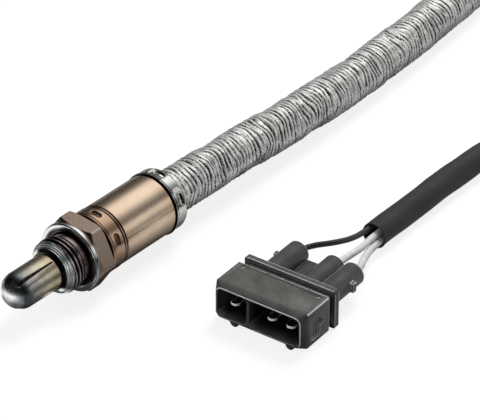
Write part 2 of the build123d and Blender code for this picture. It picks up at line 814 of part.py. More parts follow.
# ---- output ------------------------------------------------------------------------------------------
pieces = {
    "housing": housing,
    "protective_tube": protective_tube,
    "seal_gasket": seal_gasket,
    "thimble_seal_ring": thimble_seal_ring,
    "zirconia_thimble": zirconia_thimble,
    "heater_rod": heater_rod,
    "signal_contact": signal_contact,
    "ceramic_support_tube": ceramic_support_tube,
    "disc_spring": disc_spring,
    "signal_terminal": signal_terminal,
    "heater_terminal_a": heater_terminal_a,
    "heater_terminal_b": heater_terminal_b,
    "lead_signal": lead_signal,
    "lead_heater_a": lead_heater_a,
    "lead_heater_b": lead_heater_b,
    "cable_grommet": cable_grommet,
    "protective_sleeve": protective_sleeve,
    "clamp_ring": clamp_ring,
    "heat_shield_hose": heat_shield_hose,
    "hose_end_boot": hose_end_boot,
    "cable_sleeve": cable_sleeve,
    "wire_signal": wire_signal,
    "wire_heater_a": wire_heater_a,
    "wire_heater_b": wire_heater_b,
    "connector_housing": connector_housing,
}
for k in range(len(ways)):
    pieces[f"connector_terminal_{k + 1}"] = connector_terminals[k]
    pieces[f"wire_seal_{k + 1}"] = wire_seals[k]

os.makedirs("parts", exist_ok=True)
for name, piece in pieces.items():
    piece.part.label = name
    export_step(piece.part, f"parts/{name}.step")
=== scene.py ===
"""Dressed model of a screw-in heated oxygen sensor with its hose, cable and flat plug.

The sensor's axis is the row's X axis, from the closed tip to the cable, and Z is up.
"""

import logging
import math
from dataclasses import dataclass
from enum import Enum

import bmesh
import bpy
import numpy as np
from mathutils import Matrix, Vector


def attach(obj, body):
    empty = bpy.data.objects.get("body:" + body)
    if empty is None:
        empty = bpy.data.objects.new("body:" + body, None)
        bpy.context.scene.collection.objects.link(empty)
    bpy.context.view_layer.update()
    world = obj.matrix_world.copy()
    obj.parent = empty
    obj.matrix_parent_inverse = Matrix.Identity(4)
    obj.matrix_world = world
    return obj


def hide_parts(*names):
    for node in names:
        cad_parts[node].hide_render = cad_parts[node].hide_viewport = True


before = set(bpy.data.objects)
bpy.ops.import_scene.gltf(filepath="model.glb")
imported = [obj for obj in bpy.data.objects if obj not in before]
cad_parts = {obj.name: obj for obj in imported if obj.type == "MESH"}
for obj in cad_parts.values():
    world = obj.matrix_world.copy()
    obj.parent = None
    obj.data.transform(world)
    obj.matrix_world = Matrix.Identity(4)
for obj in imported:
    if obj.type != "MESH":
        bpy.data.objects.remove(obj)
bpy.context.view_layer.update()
log = logging.getLogger("oxygen_sensor")

MM = 0.001
BODY = "root"


# ---------------------------------------------------------------------------- mesh building
class Shading(Enum):
    """How the faces of a finished mesh meet."""

    SMOOTH = 180.0
    CREASED = 32.0
    SHARP = 18.0


def smoothstep(low: float, high: float, values: np.ndarray) -> np.ndarray:
    """Zero below low, one above high, and the cubic 3t^2 - 2t^3 in between.

    Args:
        low: value where the step starts.
        high: value where it ends.
        values: array to step over.

    Returns:
        An array of the same shape, from 0 to 1.
    """
    t = np.clip((values - low) / (high - low), 0.0, 1.0)
    return t * t * (3.0 - 2.0 * t)


def wave_noise(angle: np.ndarray, along: np.ndarray, seed: int, waves: int, pitch: float) -> np.ndarray:
    """Smooth irregular field: a sum of sines of whole turns round and random pitches along.

    Args:
        angle: angles round the axis, in radians.
        along: distance along the axis, in millimetres.
        seed: seed of the random draws.
        waves: number of sines in the sum.
        pitch: mean wavelength along the axis, in millimetres.

    Returns:
        Values of about unit spread, with the shape that angle and along broadcast to.
    """
    draw = np.random.default_rng(seed)
    total = 0.0
    for _ in range(waves):
        turns = draw.integers(-4, 5)
        rate = 2 * math.pi / (pitch * draw.uniform(0.55, 1.8))
        total = total + np.sin(turns * angle + rate * along + draw.uniform(0, 2 * math.pi))
    return total / math.sqrt(waves / 2)


def grid_object(
    name: str,
    points: np.ndarray,
    wrap_rows: bool = False,
    close_first: bool = False,
    close_last: bool = False,
    shading: Shading = Shading.CREASED,
) -> bpy.types.Object:
    """Closed-round surface over a grid of points: rows run along, columns run round.

    The face of a cell is (i, j), (i, j + 1), (i + 1, j + 1), (i + 1, j), which points away from
    the axis where rows advance along +X and columns turn from +Y to +Z. An end is closed by a
    fan to the mean of its row.

    Args:
        name: name of the object and its mesh.
        points: array (rows, columns, 3) in millimetres.
        wrap_rows: joins the last row to the first, for a closed profile.
        close_first: closes the first row.
        close_last: closes the last row.
        shading: how faces meet.

    Returns:
        The object, at the origin, with a UV map of turns (U) and row fraction (V).
    """
    rows, columns = points.shape[:2]
    index = np.arange(rows * columns).reshape(rows, columns)
    upper = np.vstack([index[1:], index[:1]]) if wrap_rows else index[1:]
    lower = index if wrap_rows else index[:-1]
    quads = np.stack([lower, np.roll(lower, -1, 1), np.roll(upper, -1, 1), upper], axis=-1).reshape(-1, 4)
    vertices = [points.reshape(-1, 3)]
    fans = []
    extra = rows * columns
    for wanted, row, turn in ((close_first, 0, 1), (close_last, rows - 1, -1)):
        if wanted:
            vertices.append(points[row].mean(axis=0, keepdims=True))
            ring = index[row]
            after = np.roll(ring, -turn)
            fans.append(np.stack([np.full(columns, extra), after, ring], axis=-1))
            extra += 1
    mesh = bpy.data.meshes.new(name)
    faces = [tuple(q) for q in quads.tolist()] + [tuple(t) for fan in fans for t in fan.tolist()]
    mesh.from_pydata((np.vstack(vertices) * MM).tolist(), [], faces)
    turns = np.tile(np.arange(columns) / columns, rows)
    rising = np.repeat(np.arange(rows) / max(rows - 1, 1), columns)
    loops = np.empty(len(mesh.loops), dtype=np.int32)
    mesh.loops.foreach_get("vertex_index", loops)
    inside = np.minimum(loops, rows * columns - 1)
    u, v = turns[inside], rising[inside]
    cells = len(quads) * 4
    u[:cells].reshape(-1, 4)[:, 1:3] += (u[:cells].reshape(-1, 4)[:, 1:3] < 0.5 / columns)
    layer = mesh.uv_layers.new(name="wrap")
    layer.data.foreach_set("uv", np.stack([u, v], axis=-1).ravel())
    return finish_mesh(name, mesh, shading)


def finish_mesh(name: str, mesh: bpy.types.Mesh, shading: Shading) -> bpy.types.Object:
    """Checks a mesh, shades it and links its object.

    Args:
        name: name of the object.
        mesh: the mesh, in metres.
        shading: how faces meet.

    Returns:
        The linked object.
    """
    mesh.validate()
    mesh.update()
    mesh.shade_smooth()
    if shading is not Shading.SMOOTH:
        mesh.set_sharp_from_angle(angle=math.radians(shading.value))
    piece = bpy.data.objects.new(name, mesh)
    bpy.context.scene.collection.objects.link(piece)
    return piece


def round_axis(x: np.ndarray, radius: np.ndarray, angle: np.ndarray) -> np.ndarray:
    """Points at (x, r cos a, r sin a) for stations x (rows) and angles a (columns).

    Args:
        x: stations, one per row, or an array (rows, columns).
        radius: radii, one per row, or an array (rows, columns).
        angle: angles of the columns, or an array (rows, columns), in radians.

    Returns:
        Array (rows, columns, 3).
    """
    shape = (len(x), angle.shape[-1])
    x = np.broadcast_to(x.reshape(len(x), -1), shape)
    radius = np.broadcast_to(radius.reshape(len(x), -1), shape)
    turn = np.broadcast_to(angle, shape)
    return np.stack([x, radius * np.cos(turn), radius * np.sin(turn)], axis=-1)


def profile(*corners: tuple[float, float], rounding: float = 0.0, spacing: float = 0.0) -> np.ndarray:
    """Polyline of a section, with each inner corner cut to a short quadratic curve.

    A corner P between A and B becomes P + (A - P) k (1 - t)^2 + (B - P) k t^2, where k carries the
    curve's ends rounding away from P, at most 0.45 of either side.

    Args:
        corners: (x, radius) pairs, in millimetres.
        rounding: length cut from each side of a corner.
        spacing: longest step between points, or 0 to leave the sides bare.

    Returns:
        Array (points, 2).
    """
    knots = np.array(corners, dtype=float)
    out = [knots[:1]]
    steps = np.linspace(0.0, 1.0, 5)[:, None]
    for before, corner, after in zip(knots, knots[1:], knots[2:]):
        back, ahead = before - corner, after - corner
        cut_back = min(rounding, 0.45 * np.linalg.norm(back)) / max(np.linalg.norm(back), 1e-9)
        cut_ahead = min(rounding, 0.45 * np.linalg.norm(ahead)) / max(np.linalg.norm(ahead), 1e-9)
        if rounding > 0:
            out.append(corner + back * cut_back * (1 - steps) ** 2 + ahead * cut_ahead * steps**2)
        else:
            out.append(corner[None])
    out.append(knots[-1:])
    line = np.vstack(out)
    if spacing <= 0:
        return line
    dense = [line[:1]]
    for a, b in zip(line, line[1:]):
        count = max(1, math.ceil(np.linalg.norm(b - a) / spacing))
        dense.append(a + (b - a) * (np.arange(1, count + 1) / count)[:, None])
    return np.vstack(dense)


def turn_angles(count: int, full_turn: float = 2 * math.pi) -> np.ndarray:
    """Equal angles round a full turn, which is given in radians or degrees, one per column."""
    return np.arange(count) * (full_turn / count)


def angle_from(degrees: np.ndarray, middle: float | np.ndarray, period: float = 360.0) -> np.ndarray:
    """Angles counted from the nearest middle, where there is one middle every period.

    Args:
        degrees: angles.
        middle: one of the middles.
        period: angle between two middles.

    Returns:
        Values from minus half a period to half a period.
    """
    return (degrees - middle + period / 2) % period - period / 2


def angle_shade(degrees: np.ndarray, *spans: tuple[float, float, float, float, float]) -> np.ndarray:
    """Share of painted shade round a ring, where its reflections are dark: the greatest of its spans at each
    angle.

    Args:
        degrees: angles of the columns.
        spans: (start, full, last full, end, share), where the share comes in from start to full and
            goes out from last full to end.

    Returns:
        One share per column, from 0 to 1.
    """
    total = np.zeros(len(degrees))
    for start, full, last_full, end, share in spans:
        span = smoothstep(start, full, degrees % 360) * smoothstep(end, last_full, degrees % 360)
        total = np.maximum(total, share * span)
    return total


# ---------------------------------------------------------------------------- finishes
Colour = tuple[float, float, float]
ColourStops = tuple[tuple[float, Colour], ...]
ToneStops = tuple[tuple[float, float], ...]
Socket = bpy.types.NodeSocket
BLACK = (0.0, 0.0, 0.0)
WHITE = (1.0, 1.0, 1.0)


class NodeTree:
    """Node tree with short calls for the nodes that finishes, cards and surroundings share."""

    def __init__(self, tree: bpy.types.NodeTree) -> None:
        """Empties the tree."""
        tree.nodes.clear()
        self.nodes, self.links = tree.nodes, tree.links

    def node(self, kind: str, **settings: object) -> bpy.types.Node:
        """New shader node.

        Args:
            kind: its type without the leading ShaderNode.
            settings: its properties, such as operation.

        Returns:
            The node.
        """
        made = self.nodes.new(f"ShaderNode{kind}")
        for name, value in settings.items():
            setattr(made, name, value)
        return made

    def feed(self, socket: Socket, value: object) -> None:
        """Links a socket to an output, or sets its own value.

        Args:
            socket: input of a node.
            value: an output, a number, or a colour or vector of three.
        """
        if isinstance(value, bpy.types.NodeSocket):
            self.links.new(value, socket)
        elif isinstance(value, tuple) and len(value) == 3 and len(socket.default_value) == 4:
            socket.default_value = (*value, 1.0)
        else:
            socket.default_value = value

    def fill(self, node: bpy.types.Node, **values: object) -> bpy.types.Node:
        """Feeds inputs of a node, with spaces in their names written as underscores."""
        for name, value in values.items():
            self.feed(node.inputs[name.replace("_", " ")], value)
        return node

    def position(self) -> Socket:
        """Object coordinates, in metres."""
        return self.node("TexCoord").outputs["Object"]

    def parts(self, vector: Socket) -> bpy.types.NodeOutputs:
        """Outputs X, Y and Z of a vector."""
        return self.fill(self.node("SeparateXYZ"), Vector=vector).outputs

    def attribute(self, name: str) -> Socket:
        """Value of a float attribute of the mesh."""
        return self.node("Attribute", attribute_name=name).outputs["Fac"]

    def stretch(self, vector: Socket, scale: Colour) -> Socket:
        """A vector scaled along each axis."""
        return self.fill(self.node("Mapping"), Vector=vector, Scale=scale).outputs["Vector"]

    def noise(self, vector: Socket, size: float, detail: float, roughness: float = 0.55) -> Socket:
        """Fractal noise whose largest cells have a size in millimetres, from 0 to 1.

        Args:
            vector: where the noise is read.
            size: size of a cell.
            detail: number of finer octaves.
            roughness: weight of an octave against the one before.

        Returns:
            The node's value.
        """
        node = self.fill(self.node("TexNoise"), Vector=vector, Scale=1 / (size * MM), Detail=detail,
                         Roughness=roughness)
        return node.outputs["Fac"]

    def math(self, operation: str, first: object, second: object = 0.0) -> Socket:
        """One Math node.

        Args:
            operation: what it works out.
            first: value or output.
            second: value or output.

        Returns:
            The node's value.
        """
        node = self.node("Math", operation=operation)
        self.feed(node.inputs[0], first)
        self.feed(node.inputs[1], second)
        return node.outputs[0]

    def remap(self, value: Socket, low: float, high: float, out_low: float, out_high: float) -> Socket:
        """A value moved from the range low to high into another range, and held in it.

        Args:
            value: the value.
            low: where the first range starts.
            high: where it ends.
            out_low: result at low.
            out_high: result at high.

        Returns:
            The node's value.
        """
        ranges = {"From_Min": low, "From_Max": high, "To_Min": out_low, "To_Max": out_high}
        return self.fill(self.node("MapRange"), Value=value, **ranges).outputs["Result"]

    def spread(self, noise: Socket, low: float, high: float) -> Socket:
        """The middle of a noise, 0.3 to 0.7 where most of it lies, spread from low to high."""
        return self.remap(noise, 0.3, 0.7, low, high)

    def ramp(self, value: Socket, stops: ColourStops) -> Socket:
        """Colour Ramp over 0 to 1.

        Args:
            value: place on the ramp.
            stops: (place, colour) pairs.

        Returns:
            The colour.
        """
        node = self.fill(self.node("ValToRGB"), Fac=value)
        elements = node.color_ramp.elements
        while len(elements) > 1:
            elements.remove(elements[-1])
        elements[0].position, elements[0].color = stops[0][0], (*stops[0][1], 1.0)
        for place, colour in stops[1:]:
            elements.new(place).color = (*colour, 1.0)
        return node.outputs["Color"]

    def mix(self, factor: object, first: object, second: object, blend: str = "MIX") -> Socket:
        """Mix Color of two colours or outputs.

        Args:
            factor: share of the second.
            first: colour or output.
            second: colour or output.
            blend: how the second goes over the first.

        Returns:
            The colour.
        """
        node = self.node("Mix", data_type="RGBA", blend_type=blend)
        self.feed(node.inputs["Factor"], factor)
        self.feed(node.inputs[6], first)
        self.feed(node.inputs[7], second)
        return node.outputs[2]


class NodeSheet(NodeTree):
    """Node tree of one material."""

    def __init__(self, name: str) -> None:
        """Starts a material with a Principled shader on its output."""
        self.material = bpy.data.materials.new(name)
        self.material.use_nodes = True
        super().__init__(self.material.node_tree)
        self.output = self.node("OutputMaterial")
        self.shader = self.node("BsdfPrincipled")
        self.links.new(self.shader.outputs["BSDF"], self.output.inputs["Surface"])

    def set(self, **values: object) -> None:
        """Sets or links sockets of the shader."""
        self.fill(self.shader, **values)

    def bump(self, height: Socket, strength: float, depth: float) -> None:
        """Bump on the shader's normal, depth millimetres high at full strength."""
        node = self.fill(self.node("Bump"), Strength=strength, Distance=depth * MM, Height=height)
        self.links.new(node.outputs["Normal"], self.shader.inputs["Normal"])

    def glow(self, strength: Socket, albedo: float = 0.0) -> None:
        """Puts a white emission on the output in the shader's place.

        Args:
            strength: strength of the emission.
            albedo: grey of a matte surface that is added to it, or 0 for none.
        """
        surface = self.fill(self.node("Emission"), Strength=strength).outputs[0]
        if albedo > 0.0:
            matte = self.fill(self.node("BsdfDiffuse"), Color=(albedo,) * 3)
            both = self.node("AddShader")
            self.links.new(matte.outputs[0], both.inputs[0])
            self.links.new(surface, both.inputs[1])
            surface = both.outputs[0]
        self.nodes.remove(self.shader)
        self.links.new(surface, self.output.inputs["Surface"])


@dataclass(frozen=True)
class SteelFinish:
    """Bare or heat-tinted steel whose colour changes along the axis.

    The colour is a ramp between stops (x in millimetres, colour) whose bands wander by warp, darkened
    by cloudy noise. Turning marks are a fine noise that is stretched round the axis. The attribute of
    painted shade leads to its dark colour in grooves and on dark sides, and the attribute of painted
    highlight to a bright one. With diffuse highlights, painted highlights are also less metallic, so
    that they stay pale.
    """

    name: str
    stops: ColourStops
    roughness: float = 0.25
    clouds: float = 0.15
    cloud_size: float = 2.5
    warp: float = 0.6
    warp_size: float = 3.0
    grain: float = 0.25
    grain_size: float = 0.35
    grain_depth: float = 0.012
    grain_stretch: Colour = (4.0, 0.5, 0.5)
    diffuse_highlights: bool = False
    highlight_metallic: float = 0.15
    painted_shade: Colour | None = None
    painted_highlight: Colour | None = None

    def material(self) -> bpy.types.Material:
        """Builds the material."""
        sheet = NodeSheet(self.name)
        colour = self.stops[0][1] if len(self.stops) == 1 else self._banded(sheet)
        cloud = sheet.noise(sheet.position(), self.cloud_size, 4.0)
        shade = sheet.spread(cloud, 1.0 - self.clouds, 1.0)
        colour = sheet.mix(1.0, colour, sheet.ramp(shade, ((0.0, BLACK), (1.0, WHITE))), "MULTIPLY")
        # Painted highlight and painted shade are mixed into the colour here.
        if self.painted_highlight is not None:
            colour = sheet.mix(sheet.attribute("painted_highlight"), colour, self.painted_highlight)
        if self.painted_shade is not None:
            colour = sheet.mix(sheet.attribute("painted_shade"), colour, self.painted_shade)
        turned = sheet.noise(sheet.stretch(sheet.position(), self.grain_stretch), self.grain_size, 3.0)
        rough = sheet.spread(turned, self.roughness * (1 - self.grain), self.roughness * (1 + self.grain))
        metallic = 1.0
        if self.diffuse_highlights:
            metallic = sheet.remap(sheet.attribute("painted_highlight"), 0.0, 1.0, 1.0, self.highlight_metallic)
        sheet.set(Base_Color=colour, Roughness=rough, Metallic=metallic)
        sheet.bump(turned, 0.5, self.grain_depth)
        return sheet.material

    def _banded(self, sheet: NodeSheet) -> Socket:
        """Ramp between the stops over the distance along X, pushed to and fro by a noise.

        Args:
            sheet: the material's node tree.

        Returns:
            The colour.
        """
        first, last = self.stops[0][0], self.stops[-1][0]
        warp = sheet.noise(sheet.position(), self.warp_size, 2.0)
        along = sheet.math("MULTIPLY", sheet.parts(sheet.position())["X"], 1 / MM)
        place = sheet.math("ADD", along, sheet.remap(warp, 0.25, 0.75, -self.warp, self.warp))
        place = sheet.remap(place, first, last, 0.0, 1.0)
        return sheet.ramp(place, tuple(((x - first) / (last - first), tint) for x, tint in self.stops))


@dataclass(frozen=True)
class MouldedFinish:
    """Moulded plastic, rubber or fired ceramic: matte, with a fine even grain and a painted highlight on
    edges.

    With an axis, the colour is multiplied by a ramp of painted shade along it: the outside tones where the
    inside attribute is zero and the inside tones where it is one. Tones are (distance in mm, factor).
    """

    name: str
    colour: Colour
    roughness: float = 0.5
    roughness_spread: float = 0.06
    grain_size: float = 0.25
    grain_depth: float = 0.01
    mottling: float = 0.12
    mottle_size: float = 4.0
    painted_highlight: Colour | None = None
    axis: Colour | None = None
    outside_shading: ToneStops = ()
    inside_shading: ToneStops = ()

    def material(self) -> bpy.types.Material:
        """Builds the material."""
        sheet = NodeSheet(self.name)
        grain = sheet.noise(sheet.position(), self.grain_size, 4.0, 0.6)
        mottle = sheet.noise(sheet.position(), self.mottle_size, 3.0)
        pale = tuple(min(1.0, c * (1 + self.mottling)) for c in self.colour)
        dark = tuple(c * (1 - self.mottling) for c in self.colour)
        mixed = sheet.math("MULTIPLY", sheet.math("ADD", grain, mottle), 0.5)
        colour = sheet.ramp(mixed, ((0.35, dark), (0.65, pale)))
        if self.axis is not None:
            # Painted shade along the axis, as the tones give it.
            outside, inside = self._shade_ramp(sheet, self.outside_shading), self._shade_ramp(sheet, self.inside_shading)
            tone = sheet.mix(sheet.attribute("inside"), outside, inside)
            colour = sheet.mix(1.0, colour, tone, "MULTIPLY")
        # Painted highlight on the marked faces.
        if self.painted_highlight is not None:
            colour = sheet.mix(sheet.attribute("painted_highlight"), colour, self.painted_highlight)
        smooth, rough = self.roughness - self.roughness_spread, self.roughness + self.roughness_spread
        sheet.set(Base_Color=colour, Roughness=sheet.spread(grain, smooth, rough))
        sheet.bump(grain, 0.6, self.grain_depth)
        return sheet.material

    def _shade_ramp(self, sheet: NodeSheet, tones: ToneStops) -> Socket:
        """Grey ramp of painted shade over the distance along the axis.

        Args:
            sheet: the material's node tree.
            tones: (distance, factor) pairs.

        Returns:
            The grey.
        """
        along = sheet.node("VectorMath", operation="DOT_PRODUCT")
        sheet.feed(along.inputs[0], sheet.position())
        sheet.feed(along.inputs[1], self.axis)
        first, last = tones[0][0], tones[-1][0]
        place = sheet.remap(along.outputs["Value"], first * MM, last * MM, 0.0, 1.0)
        return sheet.ramp(place, tuple(((v - first) / (last - first), (tone,) * 3) for v, tone in tones))


@dataclass(frozen=True)
class FoilFinish:
    """Crinkled aluminised sleeving: pale crests with a painted highlight, and folds in painted shade.

    The fold attribute, roughened by a fine noise, leads from the fold's colour, a painted shade, by the
    slope's to the crest's, pale foil with a painted highlight, at the three levels.
    """

    name: str
    crest: Colour = (0.97, 0.97, 0.945)
    slope: Colour = (0.46, 0.46, 0.44)
    fold: Colour = (0.010, 0.010, 0.010)
    levels: tuple[float, float, float] = (0.24, 0.42, 0.56)
    metallic: tuple[float, float] = (0.2, 0.66)
    roughness: tuple[float, float] = (0.14, 0.36)
    crinkle: tuple[float, float] = (-0.36, 0.30)
    crinkle_size: float = 0.6
    crinkle_depth: float = 0.13

    def material(self) -> bpy.types.Material:
        """Builds the material."""
        sheet = NodeSheet(self.name)
        place = sheet.stretch(sheet.position(), (1.8, 0.8, 0.8))
        crinkle = sheet.noise(place, self.crinkle_size, 4.0, 0.65)
        height = sheet.math("ADD", sheet.attribute("fold"), sheet.spread(crinkle, *self.crinkle))
        # The black folds are painted shade, and the pale crests are foil with a painted highlight.
        sheet.set(
            Base_Color=sheet.ramp(height, tuple(zip(self.levels, (self.fold, self.slope, self.crest)))),
            Metallic=sheet.remap(height, 0.15, 0.5, *self.metallic),
            Roughness=sheet.spread(crinkle, *self.roughness),
        )
        sheet.bump(crinkle, 0.9, self.crinkle_depth)
        return sheet.material


@dataclass(frozen=True)
class SleevingFinish:
    """Coated woven sleeving on a cord: two diagonal yarns as a faint relief, and dust.

    A yarn is the sine of turns times U plus or minus rises times V, on the wrap map.
    """

    name: str
    colour: Colour
    turns: float = 36.0
    rises: float = 500.0
    roughness: float = 0.6
    depth: float = 0.03
    yarn_share: float = 0.35
    dust_size: float = 1.2
    dark: float = 0.75
    pale: float = 1.35

    def material(self) -> bpy.types.Material:
        """Builds the material."""
        sheet = NodeSheet(self.name)
        yarns = sheet.math("MAXIMUM", self._yarn(sheet, 1.0), self._yarn(sheet, -1.0))
        dust = sheet.noise(sheet.position(), self.dust_size, 5.0, 0.7)
        shade = sheet.math("ADD", sheet.math("MULTIPLY", yarns, self.yarn_share),
                           sheet.math("MULTIPLY", dust, 1.0 - self.yarn_share))
        colour = sheet.ramp(shade, ((0.25, tuple(c * self.dark for c in self.colour)),
                                    (0.8, tuple(c * self.pale for c in self.colour))))
        sheet.set(Base_Color=colour, Roughness=self.roughness, Specular_IOR_Level=0.4)
        sheet.bump(yarns, 0.5, self.depth)
        return sheet.material

    def _yarn(self, sheet: NodeSheet, slant: float) -> Socket:
        """One family of yarns.

        Args:
            sheet: the material's node tree.
            slant: 1 or -1, the side to which the yarns lean.

        Returns:
            Height from 0 to 1.
        """
        place = sheet.parts(sheet.node("UVMap", uv_map="wrap").outputs["UV"])
        round_part = sheet.math("MULTIPLY", place["X"], 2 * math.pi * self.turns)
        along_part = sheet.math("MULTIPLY", place["Y"], 2 * math.pi * self.rises * slant)
        return sheet.remap(sheet.math("SINE", sheet.math("ADD", round_part, along_part)), -1, 1, 0, 1)


PLUG_YAW = math.radians(4.06)
PLUG_ALONG = (math.cos(PLUG_YAW), math.sin(PLUG_YAW), 0.0)
PLUG_START = 19.7 * PLUG_ALONG[0] - 60.05 * PLUG_ALONG[1]


def from_mouth(*tones: tuple[float, float]) -> ToneStops:
    """Tones whose distances count from the plug's mouth, moved to distances from the origin."""
    return tuple((PLUG_START + distance, tone) for distance, tone in tones)


TUBE_STEEL = SteelFinish(
    "tempered_tube_steel",
    ((-24.9, (0.96, 0.96, 0.97)), (-23.2, (0.86, 0.88, 0.90)), (-22.0, (0.18, 0.22, 0.24)),
     (-20.4, (0.24, 0.27, 0.28)), (-18.2, (0.52, 0.50, 0.47)), (-14.5, (0.74, 0.67, 0.54)),
     (-10.5, (0.76, 0.68, 0.46)), (-7.0, (0.72, 0.56, 0.42))),
    roughness=0.29, clouds=0.30, cloud_size=1.6, grain_depth=0.025,
)
# Painted highlight: the pale band on the undercut, x 0.9 to 2.8. The last two colours are painted shade and
# painted highlight.
SHELL_STEEL = SteelFinish(
    "shell_steel",
    ((-6.9, (0.86, 0.86, 0.83)), (-5.7, (0.78, 0.83, 0.80)), (-4.2, (0.62, 0.66, 0.65)),
     (-3.3, (0.17, 0.14, 0.155)), (0.2, (0.17, 0.13, 0.14)), (0.9, (0.62, 0.47, 0.42)),
     (2.8, (0.62, 0.47, 0.42)), (3.6, (0.30, 0.22, 0.20)), (4.4, (0.50, 0.38, 0.30)),
     (10.4, (0.50, 0.38, 0.30)), (16.0, (0.36, 0.24, 0.18))),
    roughness=0.22, clouds=0.16, cloud_size=1.2, grain=0.3, painted_shade=(0.018, 0.012, 0.014),
    painted_highlight=(0.92, 0.82, 0.79),
)
# Its second colour is painted shade.
GASKET_STEEL = SteelFinish(
    "gasket_steel", ((0.0, (0.84, 0.83, 0.84)),), roughness=0.17, clouds=0.10, painted_shade=(0.05, 0.05, 0.06),
)
# Its last two colours are painted shade and painted highlight.
SLEEVE_STEEL = SteelFinish(
    "bronze_tinted_steel",
    ((11.7, (0.60, 0.40, 0.27)), (16.6, (0.62, 0.42, 0.29)), (19.5, (0.84, 0.63, 0.46)),
     (27.0, (0.88, 0.69, 0.51)), (36.0, (0.88, 0.69, 0.51)), (40.3, (0.84, 0.62, 0.45))),
    roughness=0.23, clouds=0.10, cloud_size=3.5, grain=0.3, painted_shade=(0.030, 0.014, 0.009),
    painted_highlight=(0.99, 0.92, 0.84),
)
# Painted shade and painted highlight colours; the highlight is kept pale by being less metallic.
RING_STEEL = SteelFinish(
    "ring_steel", ((0.0, (0.86, 0.85, 0.81)),), roughness=0.12, clouds=0.10, diffuse_highlights=True,
    painted_shade=(0.030, 0.030, 0.026), painted_highlight=(0.96, 0.96, 0.94),
)
CONTACT_METAL = SteelFinish("contact_metal", ((0.0, (0.62, 0.57, 0.48)),), roughness=0.30)
# Its second colour is a painted highlight on the blades' tips, kept pale by being less metallic.
BLADE_PLATE = SteelFinish(
    "tinned_blade", ((0.0, (0.80, 0.80, 0.78)),), roughness=0.18, clouds=0.05, diffuse_highlights=True,
    painted_highlight=(0.97, 0.97, 0.96),
)
CERAMIC = MouldedFinish("fired_ceramic", (0.84, 0.82, 0.76), roughness=0.45, grain_size=0.15)
BLACK_RUBBER = MouldedFinish("black_rubber", (0.022, 0.022, 0.024), roughness=0.62, grain_size=0.4)
SEAL_RUBBER = MouldedFinish("seal_rubber", (0.10, 0.10, 0.105), roughness=0.6)
# Its pale colour is a painted highlight on edges, and the tones are painted shade: darker in the mouth, in
# the groove before the flange and on the barrels.
CONNECTOR_PLASTIC = MouldedFinish(
    "connector_plastic", (0.098, 0.099, 0.092), roughness=0.42, grain_size=0.35, grain_depth=0.03,
    mottling=0.35, painted_highlight=(0.72, 0.72, 0.73), axis=PLUG_ALONG,
    outside_shading=from_mouth((-0.1, 0.60), (2.2, 0.66), (2.6, 1.0), (13.4, 1.0), (14.2, 0.30), (15.6, 0.30),
                             (15.8, 0.62), (18.0, 0.70), (21.0, 0.60), (36.0, 0.60)),
    inside_shading=from_mouth((0.0, 1.0), (1.5, 0.75), (3.0, 0.28), (5.0, 0.06), (12.0, 0.04)),
)
BLACK_INSULATION = MouldedFinish("black_insulation", (0.030, 0.032, 0.029), roughness=0.30, grain_size=0.8)
WHITE_INSULATION = MouldedFinish("white_insulation", (0.70, 0.70, 0.69), roughness=0.38, grain_size=0.8)
HOSE_FOIL = FoilFinish("aluminised_sleeving")
CABLE_SLEEVING = SleevingFinish("black_sleeving", (0.030, 0.033, 0.031))


def dress(piece: bpy.types.Object, finish: object, slot: str, *replaced: str) -> bpy.types.Object:
    """Gives a new piece its finish and its body, and hides the nodes that it stands for.

    Args:
        piece: the object.
        finish: one of the finishes above.
        slot: material slot, not used.
        replaced: CAD nodes that it stands for.

    Returns:
        The piece.
    """
    piece.data.materials.clear()
    piece.data.materials.append(finish.material())
    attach(piece, BODY)
    if replaced:
        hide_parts(*replaced)
    log.info("%s: %d vertices", piece.name, len(getattr(piece.data, "vertices", ())))
    return piece


def paint(finish: object, *nodes: str) -> None:
    """Puts one finish on CAD nodes that are shown as they are.

    Args:
        finish: one of the finishes above.
        nodes: names of the nodes.
    """
    material = finish.material()
    for node in nodes:
        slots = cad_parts[node].data.materials
        slots.clear()
        slots.append(material)
        log.info("%s: painted", node)


def point_attribute(piece: bpy.types.Object, name: str, values: np.ndarray) -> None:
    """Writes a float attribute on the points of a grid piece, zero in the middle of closed ends.

    Args:
        piece: the object.
        name: name of the attribute.
        values: one value per point of the grid.
    """
    full = np.zeros(len(piece.data.vertices), dtype=np.float32)
    flat = np.asarray(values, dtype=np.float32).ravel()
    full[: len(flat)] = flat
    piece.data.attributes.new(name, "FLOAT", "POINT").data.foreach_set("value", full)


# ---------------------------------------------------------------------------- sensor body
Corners = tuple[tuple[float, float], ...]


